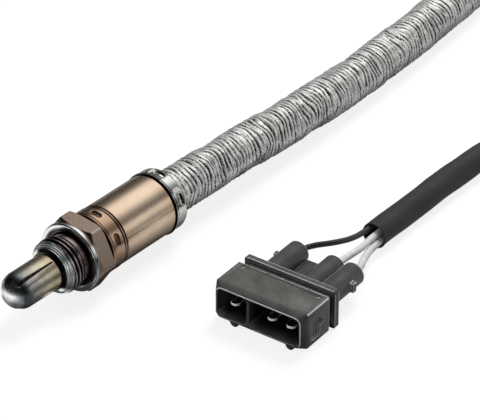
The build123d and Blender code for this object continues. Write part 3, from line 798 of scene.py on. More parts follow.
@dataclass
class ProtectiveTube:
    """Closed tube with three tapering slots, each with its lower flank dented. Sizes in millimetres."""

    tip_x: float = -24.88
    radius: float = 5.94
    rear_x: float = -5.7
    wall: float = 0.5
    slot_front_x: float = -22.9
    slot_rear_x: float = -7.6
    slot_angles: tuple[float, ...] = (118.5, 238.5, 358.5)
    slot_front_width: float = 1.3
    slot_rear_share: float = 0.38
    slot_start_share: float = 0.15
    slot_start: tuple[float, float] = (-0.1, 1.0)
    press_depth: float = 0.5
    press_width: float = 26.0
    press_rise: tuple[float, float] = (-0.2, 1.2)
    press_fade: tuple[float, float] = (1.5, -2.0)
    row_step: float = 0.15
    dome_rows: int = 60
    columns: int = 240

    def _lip(self) -> float:
        """Half of the slot's front width as an angle, in degrees."""
        return math.degrees(self.slot_front_width / 2 / self.radius)

    def _angles(self) -> np.ndarray:
        """Equal angles, with one column on each lip of every slot, in degrees."""
        step = 360.0 / self.columns
        base = np.arange(self.columns) * step
        lips = np.array([a + side * self._lip() for a in self.slot_angles for side in (-1.0, 1.0)]) % 360
        near = np.abs(angle_from(base[:, None], lips[None])).min(axis=1) < step * 0.45
        return np.sort(np.concatenate([base[~near], lips]))

    def _tapered(self, x: np.ndarray, degrees: np.ndarray) -> np.ndarray:
        """Angles drawn towards each slot's middle: a lip keeps k of its distance, and four lips away
        nothing moves. The share k falls evenly along the slot and closes at its front end.

        Args:
            x: stations (rows).
            degrees: angles of the columns.

        Returns:
            Angles in degrees, array (rows, columns).
        """
        along = np.clip((x - self.slot_front_x) / (self.slot_rear_x - self.slot_front_x), 0.0, 1.0)
        opened = smoothstep(*self.slot_start, x - self.slot_front_x)
        opened = self.slot_start_share + (1.0 - self.slot_start_share) * opened
        k = ((1.0 - (1.0 - self.slot_rear_share) * along) * opened)[:, None]
        out = np.broadcast_to(degrees, (len(x), len(degrees))).copy()
        lip = self._lip()
        for slot_angle in self.slot_angles:
            away = angle_from(degrees, slot_angle)
            near = np.abs(away) < 4 * lip
            size = np.abs(away[near])[None]
            moved = np.where(size <= lip + 1e-6, size * k, k * lip + (size - lip) * (4 - k) / 3)
            out[:, near] = slot_angle + np.sign(away[near])[None] * moved
        return out

    def _press(self, x: np.ndarray, degrees: np.ndarray) -> np.ndarray:
        """Depth of the dented flanks: a rise and a slow fade along the slot, times a fall-off from its lip.

        Args:
            x: stations (rows).
            degrees: angles of the columns.

        Returns:
            Depths in millimetres, array (rows, columns).
        """
        rise = smoothstep(self.slot_front_x + self.press_rise[0], self.slot_front_x + self.press_rise[1], x)
        fade = smoothstep(self.slot_front_x + self.press_fade[0], self.slot_rear_x + self.press_fade[1], x)
        along = self.press_depth * rise * (1.0 - fade)
        total = np.zeros((len(x), len(degrees)))
        for slot_angle in self.slot_angles:
            away = angle_from(degrees, slot_angle)
            fall = 1.0 - smoothstep(0.0, 1.0, np.clip(away / self.press_width, 0, 1))
            total += along[:, None] * np.where(away > 0, fall, 0.0)[None]
        return total

    def build(self) -> bpy.types.Object:
        """Surface of revolution less the dents, opened between the lips, then given its wall."""
        turn = np.linspace(0.03, 1.0, self.dome_rows) * math.pi / 2
        dome_x = self.tip_x + self.radius * (1 - np.cos(turn))
        barrel_x = np.arange(dome_x[-1] + self.row_step, self.rear_x, self.row_step)
        x = np.concatenate([dome_x, barrel_x])
        radius = np.concatenate([self.radius * np.sin(turn), np.full(len(barrel_x), self.radius)])
        degrees = self._angles()
        radius = radius[:, None] - self._press(x, degrees)
        points = round_axis(x, radius, np.radians(self._tapered(x, degrees)))
        piece = grid_object("sensor_tip", points, close_first=True)
        self._open_slots(piece, degrees, x)
        wall = piece.modifiers.new("wall", "SOLIDIFY")
        wall.thickness = self.wall * MM
        wall.offset = -1.0
        wall.use_rim = True
        return dress(piece, TUBE_STEEL, "heat_tinted_steel", "protective_tube")

    def _open_slots(self, piece: bpy.types.Object, degrees: np.ndarray, x: np.ndarray) -> None:
        """Deletes the cells between a slot's two lips.

        Args:
            piece: the grid piece.
            degrees: angles of its columns.
            x: stations of its rows.
        """
        mesh = bmesh.new()
        mesh.from_mesh(piece.data)
        mesh.faces.ensure_lookup_table()
        rows = np.nonzero((x[:-1] > self.slot_front_x) & (x[1:] < self.slot_rear_x))[0]
        middles = (degrees + (np.roll(degrees, -1) - degrees) % 360 / 2) % 360
        doomed = []
        for slot_angle in self.slot_angles:
            inside = np.nonzero(np.abs(angle_from(middles, slot_angle)) < self._lip())[0]
            doomed += [mesh.faces[int(i) * len(degrees) + int(j)] for i in rows for j in inside]
        bmesh.ops.delete(mesh, geom=doomed, context="FACES")
        mesh.to_mesh(piece.data)
        mesh.free()


@dataclass
class SensorShell:
    """Nose, thread, undercut, hexagon and spigot in one turned piece.

    Sizes in millimetres. Outlines are corners (x, radius). Pairs named rise, fade or run_out are the two
    ends of a smooth step. Spans of painted shade are (start, full, last full, end, share) in degrees. The
    hexagon's rows are close where its chamfers are: front_rows and rear_rows are (reach, step).
    """

    recess: Corners = ((-5.9, 5.97), (-5.9, 6.18), (-6.0, 6.2), (-6.75, 6.2))
    nose: Corners = ((-6.87, 6.22), (-6.9, 6.33), (-5.87, 7.36))
    nose_fade: tuple[float, float] = (7.43, 7.03)
    nose_shade: tuple[float, ...] = (80.0, 102.0, 208.0, 224.0, 1.0)
    cone_x: float = -5.75
    cone_radius: float = 7.48
    full_x: float = -3.0
    start_steps: int = 5
    step_rise: tuple[float, float] = (0.66, 1.0)
    thread_radius: float = 8.98
    thread_depth: float = 0.80
    pitch: float = 1.5
    crest_x: float = -0.52
    crest_angle: float = 134.0
    crest_flat: float = 1 / 14
    root_start: float = 3 / 8
    depth_rise: tuple[float, float] = (0.50, 0.95)
    shade_rise: tuple[float, float] = (0.60, 0.90)
    highlight_end: float = 1 / 6
    crest_highlight: float = 0.62
    run_out: tuple[float, float] = (0.5, -0.6)
    thread_end_x: float = 0.621
    thread_row: float = 0.06
    undercut_radius: float = 8.18
    undercut: Corners = ((0.75, 8.08), (1.1, 8.02), (2.5, 8.34), (2.8, 8.34))
    undercut_shade: tuple[float, ...] = (132.0, 148.0, 260.0, 300.0, 0.75)
    shoulder: Corners = ((2.9, 8.34), (4.25, 8.34), (4.5, 8.48), (4.5, 10.6))
    hex_x: float = 4.5
    hex_rear_x: float = 10.1
    hex_turn: float = 4.0
    across_flats: float = 22.0
    corner_radius: float = 12.56
    edge_half: float = 0.8
    chamfer_slope: float = 0.577
    front_inset: float = 0.1
    rear_land: float = 0.8
    front_rows: tuple[float, float] = (1.25, 0.05)
    rear_rows: tuple[float, float] = (0.7, 0.07)
    flat_rows: int = 8
    spigot: Corners = ((10.1, 9.91), (10.3, 9.66), (15.95, 9.66))
    spigot_shade: float = 0.35
    columns: int = 360

    def _thread(self, x: np.ndarray, degrees: np.ndarray) -> tuple[np.ndarray, np.ndarray, np.ndarray]:
        """Radius of a right-hand thread under a tapered start, with its painted shade and painted highlight.

        The distance from the nearest crest line, in pitches, is taken through a trapezium: flat up to
        crest_flat, then falling evenly to the root at root_start. The start rises in small steps along
        a quarter of a sine. Painted shade lies in the roots and a painted highlight on the crests.

        Args:
            x: stations (rows).
            degrees: angles of the columns.

        Returns:
            Radii in millimetres, painted shade from 0 to 1 and painted highlight from 0 to 1, arrays (rows,
            columns).
        """
        turns = (x[:, None] - self.crest_x) / self.pitch - (degrees[None] - self.crest_angle) / 360.0
        away = np.abs(turns - np.round(turns))
        share = np.clip((away - self.crest_flat) / (self.root_start - self.crest_flat), 0.0, 1.0)
        rise = np.clip((x - self.cone_x) / (self.full_x - self.cone_x), 0.0, 1.0)
        steps = rise * self.start_steps
        stairs = (np.floor(steps) + smoothstep(*self.step_rise, steps % 1.0)) / self.start_steps
        taper = self.cone_radius + (self.thread_radius - self.cone_radius) * np.sin(stairs * math.pi / 2)
        depth = self.thread_depth * smoothstep(*self.depth_rise, rise)[:, None]
        cut = smoothstep(*self.run_out, x)[:, None]
        radius = np.maximum(self.undercut_radius, self.thread_radius - depth * share) * cut
        radius = radius + self.undercut_radius * (1 - cut)
        radius = np.where(x[:, None] < self.full_x, taper[:, None] - depth * share, radius)
        # Painted shade in the roots and painted highlight on the crests.
        formed = smoothstep(*self.shade_rise, rise)[:, None] * cut
        crest = 1.0 - smoothstep(self.crest_flat, self.highlight_end, away)
        return radius, share * formed, self.crest_highlight * crest * formed

    def _hexagon(self, x: np.ndarray, degrees: np.ndarray) -> tuple[np.ndarray, np.ndarray]:
        """Radius of the hexagon cut by its chamfer cones, and the painted highlight on its edges.

        Args:
            x: stations (rows).
            degrees: angles of the columns.

        Returns:
            Radii in millimetres and a painted highlight of one along the edges between flats, arrays (rows,
            columns).
        """
        flat = self.across_flats / 2
        away = (degrees - self.hex_turn) % 60.0 - 30.0
        prism = np.minimum(flat / np.cos(np.radians(away)), self.corner_radius)
        front = flat - self.front_inset + (x - self.hex_x) / self.chamfer_slope
        rear = flat + self.rear_land + (self.hex_rear_x - x) / self.chamfer_slope
        cone = np.minimum(front, rear)[:, None]
        # Painted highlight along the edges between flats.
        edge = (np.abs(away)[None] > 30.0 - self.edge_half) & (prism[None] < cone)
        return np.minimum(prism[None], cone), edge * 1.0

    def build(self) -> bpy.types.Object:
        """One grid of row blocks: recess, nose cone, thread, undercut, shoulder, hexagon and spigot.

        A block is (stations, radii, painted shade, painted highlight).
        """
        degrees = turn_angles(self.columns, 360.0) + self.hex_turn
        nose = profile(*self.nose, rounding=0.05, spacing=0.1)
        # Painted shade on the nose cone, at the angles where it reflects dark.
        nose_shade = smoothstep(*self.nose_fade, nose[:, 1])[:, None] * angle_shade(degrees, self.nose_shade)[None]
        thread_x = np.arange(self.cone_x - self.thread_row, self.thread_end_x, self.thread_row)
        front_reach, front_step = self.front_rows
        rear_reach, rear_step = self.rear_rows
        hex_x = np.concatenate([
            np.arange(self.hex_x, self.hex_x + front_reach, front_step),
            np.linspace(self.hex_x + front_reach + 0.05, self.hex_rear_x - rear_reach - 0.05, self.flat_rows),
            np.arange(self.hex_rear_x - rear_reach, self.hex_rear_x + 0.001, rear_step),
        ])
        thread_radius, thread_shade, thread_highlight = self._thread(thread_x, degrees)
        hex_radius, hex_highlight = self._hexagon(hex_x, degrees)
        undercut = profile(*self.undercut, rounding=0.2, spacing=0.2)
        # Painted shade: the whole recess, the undercut at its dark angles and the spigot.
        blocks = (
            (*profile(*self.recess).T, 1.0, 0.0),
            (*nose.T, nose_shade, 0.0),
            (thread_x, thread_radius, thread_shade, thread_highlight),
            (*undercut.T, angle_shade(degrees, self.undercut_shade), 0.0),
            (*profile(*self.shoulder, rounding=0.2).T, 0.0, 0.0),
            (hex_x, hex_radius, 0.0, hex_highlight),
            (*profile(*self.spigot, rounding=0.1).T, self.spigot_shade, 0.0),
        )
        points = np.vstack([round_axis(x, radius, np.radians(degrees)) for x, radius, _, _ in blocks])
        piece = grid_object("sensor_shell", points, close_last=True, shading=Shading.SHARP)
        # Writes the painted shade and painted highlight of each block.
        for place, name in ((2, "painted_shade"), (3, "painted_highlight")):
            rows = [np.broadcast_to(block[place], (len(block[0]), self.columns)) for block in blocks]
            point_attribute(piece, name, np.vstack(rows))
        return dress(piece, SHELL_STEEL, "shell_steel", "housing")


@dataclass
class CrushGasket:
    """Folded crush ring with a rounded rim and a shallow dish in its front face. Sizes in millimetres."""

    section: Corners = ((3.45, 8.42), (3.05, 8.52), (3.12, 9.32), (2.7, 10.02), (2.7, 11.5), (4.5, 11.5),
                        (4.5, 8.42), (3.45, 8.42))
    rounding: float = 0.62
    dish_shade: tuple[float, float] = (10.02, 9.42)
    back_x: float = 4.1
    rim_shade: tuple[float, ...] = (155.0, 160.0, 206.0, 211.0, 0.55)
    columns: int = 300

    def build(self) -> bpy.types.Object:
        """Closed profile turned round the axis."""
        line = profile(*self.section, rounding=self.rounding, spacing=0.10)[:-1]
        angle = turn_angles(self.columns)
        piece = grid_object("crush_gasket", round_axis(line[:, 0], line[:, 1], angle), wrap_rows=True)
        # Painted shade in the front face's dish and on one span of the rim.
        dish = smoothstep(*self.dish_shade, line[:, 1]) * (line[:, 0] < self.back_x)
        shade_share = np.maximum(dish[:, None], angle_shade(np.degrees(angle), self.rim_shade))
        point_attribute(piece, "painted_shade", shade_share)
        return dress(piece, GASKET_STEEL, "gasket_steel", "seal_gasket")


@dataclass(frozen=True)
class PressedMarks:
    """Evenly spaced rounded marks pressed into a wall of revolution. Sizes in millimetres.

    A mark is depth times one less a smooth step of the distance from its centre, where the distance
    is 1 on a rounded oblong of the half sizes, and softness is the share of it that slopes.
    """

    centre_x: float
    half_axial: float
    half_round: float
    depth: float
    softness: float
    first_angle: float = 34.0
    spacing: float = 60.0
    rim_distance: float = 1.08
    rim_width: float = 0.11

    def away(self, degrees: np.ndarray) -> np.ndarray:
        """Angles from the nearest mark, in degrees."""
        return angle_from(degrees, self.first_angle, self.spacing)

    def press(self, x: np.ndarray, degrees: np.ndarray, radius: float) -> tuple[np.ndarray, np.ndarray]:
        """Depths of the marks, and their rims.

        Args:
            x: stations (rows).
            degrees: angles of the columns.
            radius: wall radius that turns angles into arc lengths.

        Returns:
            Depths in millimetres and a share that is one on the rims, arrays (rows, columns).
        """
        arc = np.radians(self.away(degrees)) * radius
        reach = np.maximum(np.abs(arc) - (self.half_round - self.half_axial), 0.0)
        distance = np.hypot(reach[None], (x - self.centre_x)[:, None]) / self.half_axial
        rim = np.exp(-(((distance - self.rim_distance) / self.rim_width) ** 2))
        return self.depth * (1.0 - smoothstep(1.0 - self.softness, 1.0, distance)), rim


@dataclass
class SleeveShell:
    """Skirt with caulked notches, double bead, straight wall and neck.

    Sizes in millimetres. The outlines are corners (x, radius).
    """

    outer: Corners = (
        (11.7, 9.78), (11.7, 10.48), (12.08, 10.48), (12.15, 10.26), (12.4, 10.26), (12.5, 10.48),
        (16.9, 10.48), (17.02, 10.05), (17.36, 10.05), (17.46, 10.33), (17.96, 10.33), (18.06, 10.05),
        (18.38, 10.05), (18.48, 10.33), (18.9, 10.33),
    )
    wall: Corners = ((19.2, 10.33), (40.5, 10.33), (40.6, 9.68), (45.08, 9.68), (45.08, 9.16))
    inner: Corners = ((44.98, 9.16), (40.7, 9.16), (40.4, 9.78), (11.9, 9.78))
    radius: float = 10.33
    notches: PressedMarks = PressedMarks(14.6, half_axial=1.1, half_round=2.3, depth=0.48, softness=0.5)
    notch_end: float = 1.7
    notch_shade: float = 0.80
    notch_shade_depths: tuple[float, float] = (0.10, 0.34)
    rim_highlight: float = 0.5
    groove_radii: tuple[float, float] = (9.88, 10.21)
    groove_shade: float = 0.9
    bead_span: tuple[float, float] = (16.7, 18.6)
    bead_shade: float = 0.35
    neck_x: float = 40.55
    columns: int = 480

    def build(self) -> bpy.types.Object:
        """Closed profile turned round the axis, less the notches."""
        outer = profile(*self.outer, rounding=0.13, spacing=0.13)
        wall = profile(*self.wall, rounding=0.2, spacing=0.9)
        line = np.vstack([outer, wall, profile(*self.inner, spacing=6.0)])
        x, radius = line.T
        degrees = turn_angles(self.columns, 360.0)
        marks, rims = self.notches.press(x, degrees, self.radius)
        marks[len(outer):] = 0.0
        rims[len(outer):] = 0.0
        points = round_axis(x, radius[:, None] - marks, np.radians(degrees))
        piece = grid_object("protective_shell", points, wrap_rows=True)
        # Painted shade in the notches, the grooves, on the beads and in the neck; painted highlight on the
        # notches' rims at their ends.
        bead = (x > self.bead_span[0]) & (x < self.bead_span[1])
        groove = (radius > self.groove_radii[0]) & (radius < self.groove_radii[1]) & (x < self.bead_span[1])
        rings = groove * self.groove_shade + bead * self.bead_shade + (x > self.neck_x)
        shade_share = np.maximum(self.notch_shade * smoothstep(*self.notch_shade_depths, marks), rings[:, None])
        ends = np.abs(self.notches.away(degrees)) > math.degrees(self.notch_end / self.radius)
        point_attribute(piece, "painted_shade", np.minimum(shade_share, 1.0))
        point_attribute(piece, "painted_highlight", rims * self.rim_highlight * ends[None])
        return dress(piece, SLEEVE_STEEL, "bronze_tinted_steel", "protective_sleeve")


@dataclass
class ClampBand:
    """Ring with a raised front edge, pressed dimples and a round rear shoulder.

    Sizes in millimetres. Outlines are corners (x, radius), spans of painted shade are (start, full, last
    full, end, share) in degrees, and a spot of painted highlight is (x and arc from a dimple's centre, half
    sizes along and round, distance up to which it is whole, share).
    """

    lip: Corners = ((41.45, 9.77), (41.2, 9.92), (41.2, 10.79), (41.66, 10.79), (41.78, 10.37),
                    (42.08, 10.37), (42.16, 10.49), (45.2, 10.49))
    back: Corners = ((46.6, 9.04), (46.6, 7.57), (45.65, 7.57), (45.65, 9.77), (41.7, 9.77))
    radius: float = 10.49
    outside_depth: float = 0.4
    rear_x: float = 46.6
    shoulder: float = 1.3
    dimples: PressedMarks = PressedMarks(44.0, half_axial=1.25, half_round=2.4, depth=0.52, softness=0.70)
    # Spans of painted shade, at angles where the ring's reflections are dark.
    shade_share: tuple[tuple[float, ...], ...] = (
        (87.0, 92.0, 105.0, 110.0, 0.75), (144.0, 149.0, 166.0, 171.0, 0.60),
    )
    step_x: float = 41.9
    step_reach: tuple[float, float] = (0.36, 0.16)
    step_shade: float = 0.95
    face_x: float = 41.32
    face_radius: float = 10.64
    face_shade: float = 0.9
    rim_shade: float = 0.45
    floor_shade: float = 0.75
    floor_depths: tuple[float, float] = (0.15, 0.38)
    floor_middle: float = 0.35
    middle_width: float = 8.0
    highlight_spots: tuple[tuple[float, ...], ...] = (
        (0.0, -3.2, 1.6, 0.85, 0.7, 0.8), (0.1, 1.1, 0.34, 1.2, 0.6, 1.0),
    )
    columns: int = 480

    def build(self) -> bpy.types.Object:
        """Closed profile turned round the axis, less the dimples."""
        turn = np.linspace(0.0, math.pi / 2, 12)
        shoulder = np.stack([self.rear_x - self.shoulder + self.shoulder * np.sin(turn),
                             self.radius - self.shoulder + self.shoulder * np.cos(turn)], axis=-1)
        line = np.vstack([profile(*self.lip, rounding=0.20, spacing=0.07), shoulder,
                          profile(*self.back, rounding=0.15, spacing=0.5)])
        x, radius = line.T
        degrees = turn_angles(self.columns, 360.0)
        marks, rims = self.dimples.press(x, degrees, self.radius)
        inside = radius < self.radius - self.outside_depth
        marks[inside] = 0.0
        rims[inside] = 0.0
        points = round_axis(x, radius[:, None] - marks, np.radians(degrees))
        piece = grid_object("clamp_band", points, wrap_rows=True)
        # Painted highlight spots by each dimple, and painted shade where they are not.
        glints = self._highlight_map(x, radius, degrees)
        point_attribute(piece, "painted_highlight", glints)
        point_attribute(piece, "painted_shade", self._shade_map(x, radius, degrees, marks, rims) * (1.0 - glints))
        return dress(piece, RING_STEEL, "ring_steel", "clamp_ring")

    def _shade_map(self, x: np.ndarray, radius: np.ndarray, degrees: np.ndarray, marks: np.ndarray,
               rims: np.ndarray) -> np.ndarray:
        """Share of painted shade: in the step behind the lip, on the front face, in the dimples and in the
        spans.

        Args:
            x: stations (rows).
            radius: radii of the rows.
            degrees: angles of the columns.
            marks: depths of the dimples.
            rims: share of the dimples' rims.

        Returns:
            Shares from 0 to 1, array (rows, columns).
        """
        step = smoothstep(*self.step_reach, np.abs(x - self.step_x))
        step = step * (radius > self.radius - self.outside_depth)
        face = (x < self.face_x) & (radius < self.face_radius)
        beside = 1.0 - np.exp(-(self.dimples.away(degrees) / self.middle_width) ** 2)
        rings = (step * self.step_shade + face * self.face_shade)[:, None]
        floor = self.floor_shade * smoothstep(*self.floor_depths, marks)
        floor = floor * (self.floor_middle + (1.0 - self.floor_middle) * beside)
        dark = np.maximum(rims * self.rim_shade * (1.0 + beside), rings)
        return np.maximum(np.maximum(dark, angle_shade(degrees, *self.shade_share)), floor)

    def _highlight_map(self, x: np.ndarray, radius: np.ndarray, degrees: np.ndarray) -> np.ndarray:
        """Share of painted highlight: a patch before each dimple and a glint on its floor.

        Args:
            x: stations (rows).
            radius: radii of the rows.
            degrees: angles of the columns.

        Returns:
            Shares from 0 to 1, array (rows, columns).
        """
        along = (x - self.dimples.centre_x)[:, None]
        arc = (np.radians(self.dimples.away(degrees)) * self.radius)[None]
        total = np.zeros((len(x), len(degrees)))
        for middle_x, middle_arc, half_x, half_arc, whole, share in self.highlight_spots:
            distance = np.hypot((along - middle_x) / half_x, (arc - middle_arc) / half_arc)
            total = np.maximum(total, share * smoothstep(1.2, whole, distance))
        return total * (radius > self.radius - self.outside_depth)[:, None]


# ---------------------------------------------------------------------------- cable
HOSE_ROUTE = [
    (45.1, 0.0, 0.0), (72.0, 0.0, 0.0), (106.0, 0.2, -1.9), (140.0, 1.0, -3.2),
    (172.0, 3.2, -3.5), (202.0, 6.0, -3.5), (228.0, 9.3, -3.5),
]
BOOT_LENGTH = 22.0
BOOT_STRAIGHT = 22.0
CABLE_LIE = -7.1
CABLE_FREE = [(x, y, CABLE_LIE) for x, y in (
    (296.5, 4.4), (312.8, -17.1), (316.2, -43.9), (305.7, -68.8), (284.2, -85.1), (257.4, -88.5),
    (230.3, -81.3), (202.1, -71.0), (173.0, -62.3), (146.0, -56.4), (112.0, -56.4), (79.8, -57.8),
)]


def unit(vector: np.ndarray) -> np.ndarray:
    """Vector over its length."""
    return vector / np.linalg.norm(vector)


def spline_object(name: str, route: list[tuple[float, float, float]]) -> bpy.types.Object:
    """Curve object of one smooth open spline.

    Args:
        name: name of the curve.
        route: its control points, in millimetres.

    Returns:
        The object, not linked to the scene.
    """
    curve = bpy.data.curves.new(name, "CURVE")
    curve.dimensions = "3D"
    curve.resolution_u = 24
    spline = curve.splines.new("NURBS")
    spline.points.add(len(route) - 1)
    spline.points.foreach_set("co", np.append(np.array(route) * MM, np.ones((len(route), 1)), axis=1).ravel())
    spline.order_u = 3
    spline.use_endpoint_u = True
    return bpy.data.objects.new(name, curve)


@dataclass
class SplineLine:
    """Centre line of a cord, read from its spline and walked by length. Sizes in millimetres."""

    route: list[tuple[float, float, float]]
    tangent_reach: float = 1.2
    path_step: float = 2.0

    def __post_init__(self) -> None:
        """Reads the spline's own points through a curve with no bevel."""
        guide = spline_object("guide", self.route)
        mesh = bpy.data.meshes.new_from_object(guide)
        flat = np.empty(len(mesh.vertices) * 3)
        mesh.vertices.foreach_get("co", flat)
        self.points = flat.reshape(-1, 3) / MM
        self.walked = np.concatenate([[0.0], np.cumsum(np.linalg.norm(np.diff(self.points, axis=0), axis=1))])
        self.length = float(self.walked[-1])
        bpy.data.objects.remove(guide)
        bpy.data.meshes.remove(mesh)

    def at(self, distance: np.ndarray) -> np.ndarray:
        """Points at distances along the line, array (n, 3)."""
        return np.stack([np.interp(distance, self.walked, self.points[:, k]) for k in range(3)], axis=-1)

    def tube(self, distance: np.ndarray, radius: np.ndarray, angle: np.ndarray) -> np.ndarray:
        """Points of a round section carried along the line with one side always level.

        With T along the line, S = up x T and N = T x S, a point is C + r (S cos a + N sin a).

        Args:
            distance: stations along the line (rows).
            radius: radii, one per row, or an array (rows, columns).
            angle: angles of the columns.

        Returns:
            Array (rows, columns, 3).
        """
        ahead = self.at(np.minimum(distance + self.tangent_reach, self.length))
        behind = self.at(np.maximum(distance - self.tangent_reach, 0.0))
        tangent = ahead - behind
        tangent /= np.linalg.norm(tangent, axis=1, keepdims=True)
        side = np.cross(np.array([0.0, 0.0, 1.0]), tangent)
        side /= np.linalg.norm(side, axis=1, keepdims=True)
        normal = np.cross(tangent, side)
        radius = np.broadcast_to(np.reshape(radius, (len(distance), -1)), (len(distance), len(angle)))
        ring = side[:, None] * np.cos(angle)[None, :, None] + normal[:, None] * np.sin(angle)[None, :, None]
        return self.at(distance)[:, None] + ring * radius[..., None]


@dataclass
class HeatShieldHose:
    """Crinkled aluminised sleeving from the clamp ring to the boot. Sizes in millimetres."""

    radius: float = 7.5
    pitch: float = 1.7
    fold_depth: float = 0.62
    clearance: float = 0.12
    swell: float = 0.22
    swell_range: tuple[float, float] = (-0.35, 0.1)
    crumple: float = 0.08
    collar_length: float = 3.0
    collar_depth: float = 0.45
    shaded_start: tuple[float, float] = (1.3, 2.2)
    step: float = 0.25
    columns: int = 132
    seed: int = 11
    slow_drift: float = 0.55
    quick_drift: float = 0.22
    crest_power: float = 0.95
    patch_range: tuple[float, float] = (0.1, 1.3)
    split_depth: float = 0.48
    depth_mean: float = 0.90
    depth_spread: float = 0.20
    depth_range: tuple[float, float] = (0.45, 1.15)

    def _folds(self, along: np.ndarray, angle: np.ndarray) -> np.ndarray:
        """Height of the folds from 0, in a fold, to 1, on a crest.

        The hoops are the absolute sine of a slightly wandering phase, which gives broad crests and
        narrow folds. In patches a second family of half the pitch splits the hoops, and slow fields
        vary how deep each fold is, so that folds branch, join and fade.

        Args:
            along: distances from the hose's start (rows).
            angle: angles of the columns.

        Returns:
            Heights, array (rows, columns).
        """
        s, a = along[:, None], angle[None]
        drift = self.slow_drift * wave_noise(a, s, self.seed, 10, 16.0)
        drift = drift + self.quick_drift * wave_noise(a, s, self.seed + 5, 14, 4.0)
        hoops = np.abs(np.sin(math.pi * s / self.pitch + drift)) ** self.crest_power
        split = np.abs(np.sin(2 * math.pi * s / self.pitch + 1.6 * drift))
        patches = smoothstep(*self.patch_range, wave_noise(a, s, self.seed + 2, 9, 6.0))
        depth = self.depth_mean + self.depth_spread * wave_noise(a, s, self.seed + 3, 12, 4.5)
        height = 1.0 - (1.0 - hoops) * np.clip(depth, *self.depth_range)
        height = height - self.split_depth * patches * (1.0 - split)
        return np.clip(height, 0.0, 1.0)

    def build(self) -> bpy.types.Object:
        """Folded tube along the hose's line."""
        line = SplineLine(HOSE_ROUTE)
        along = np.arange(0.0, line.length, self.step)
        angle = turn_angles(self.columns)
        s, a = along[:, None], angle[None]
        height = self._folds(along, angle)
        swell = np.clip(self.swell * wave_noise(a, s, self.seed + 4, 6, 24.0), *self.swell_range)
        crumple = self.crumple * wave_noise(a, s, self.seed + 6, 16, 1.6)
        radius = self.radius - self.clearance - self.fold_depth * (1.0 - height) + swell + crumple
        free = smoothstep(0.0, self.collar_length, s)
        radius = np.minimum(radius * free + (self.radius - self.collar_depth) * (1 - free), self.radius)
        piece = grid_object("heat_shield_sleeve", line.tube(along, radius, angle), close_first=True,
                            close_last=True, shading=Shading.SMOOTH)
        # Painted shade: the fold height is held down near the start, which gives a dark ring by the clamp
        # band.
        point_attribute(piece, "fold", height * smoothstep(*self.shaded_start, s))
        dress(piece, HOSE_FOIL, "silver_hose", "heat_shield_hose")
        return piece


@dataclass
class CableBoot:
    """Ribbed rubber boot from the hose down to the black sleeving.

    Sizes in millimetres, and places along it as shares of its length.
    """

    radius: float = 8.0
    small_radius: float = 5.2
    taper_start: float = 0.4
    ribs: int = 5
    rib_depth: float = 0.7
    ribbed: tuple[float, float, float, float] = (0.42, 0.5, 0.9, 0.96)
    edge: float = 0.5
    edge_share: float = 0.04
    rows: int = 160
    columns: int = 96

    def ends(self) -> tuple[np.ndarray, np.ndarray]:
        """First and last point of its axis."""
        start = np.array(HOSE_ROUTE[-1])
        along = unit(start - np.array(HOSE_ROUTE[-2]))
        return start, start + along * BOOT_LENGTH

    def build(self) -> bpy.types.Object:
        """Tapered round body whose radius drops between ribs by a squared raised cosine."""
        start, end = self.ends()
        line = SplineLine([tuple(start), tuple((start + end) / 2), tuple(end)])
        share = np.linspace(0.0, 1.0, self.rows)
        tapered = (share - self.taper_start) / (1.0 - self.taper_start)
        body = np.where(share < self.taper_start, self.radius,
                        self.radius + (self.small_radius - self.radius) * tapered)
        first, full, last_full, last = self.ribbed
        ribbed = smoothstep(first, full, share) * (1 - smoothstep(last_full, last, share))
        groove = self.rib_depth * ribbed * (0.5 + 0.5 * np.cos(2 * math.pi * self.ribs * tapered)) ** 2
        near_end = 1 - np.clip(share / self.edge_share, 0, 1)
        rounding = self.edge * (1 - np.sqrt(np.clip(1 - near_end**2, 0, 1)))
        points = line.tube(share * line.length, body - groove - rounding, turn_angles(self.columns))
        piece = grid_object("cable_boot", points, close_first=True, close_last=True)
        return dress(piece, BLACK_RUBBER, "black_rubber", "hose_end_boot")


@dataclass
class CableSleeving:
    """Black sleeving over the wires, with an open thin-walled end by the plug. Sizes in millimetres."""

    radius: float = 4.4
    wall: float = 0.5
    mouth: float = 8.0
    clearance: float = 0.08
    sag: float = 0.10
    step: float = 1.2
    fine_step: float = 0.3
    fine_length: float = 6.0
    fine_gap: float = 0.2
    inner_gap: float = 0.6
    inner_step: float = 0.5
    lip: float = 0.25
    columns: int = 72
    seed: int = 5

    def route(self) -> list[tuple[float, float, float]]:
        """Control points from the boot to the open end."""
        start, end = CableBoot().ends()
        along = unit(end - start)
        return [tuple(end), tuple(end + along * BOOT_STRAIGHT)] + CABLE_FREE

    def build(self) -> bpy.types.Object:
        """Outer tube, rounded lip, inner tube back to the floor of the mouth."""
        line = SplineLine(self.route())
        angle = turn_angles(self.columns)
        fine = line.length - self.fine_length
        outer_s = np.concatenate([np.arange(0.0, fine, self.step),
                                  np.arange(fine, line.length - self.fine_gap, self.fine_step)])
        turn = np.linspace(0.0, math.pi, 7)
        lip_s = line.length - self.lip + self.lip * np.sin(turn)
        lip_r = self.radius - self.wall / 2 + self.wall / 2 * np.cos(turn)
        inner_s = np.arange(line.length - self.inner_gap, line.length - self.mouth, -self.inner_step)
        sag = self.sag * wave_noise(angle[None], outer_s[:, None], self.seed, 6, 30.0)
        radius = np.concatenate([np.minimum(self.radius - self.clearance + sag, self.radius),
                                 np.broadcast_to(lip_r[:, None], (len(turn), self.columns)),
                                 np.full((len(inner_s), self.columns), self.radius - self.wall)])
        points = line.tube(np.concatenate([outer_s, lip_s, inner_s]), radius, angle)
        piece = grid_object("cable_sleeving", points, close_first=True, close_last=True)
        dress(piece, CABLE_SLEEVING, "black_cable_sleeve", "cable_sleeve")
        tuple(np.array(self.route()[0]) * MM)
        return piece


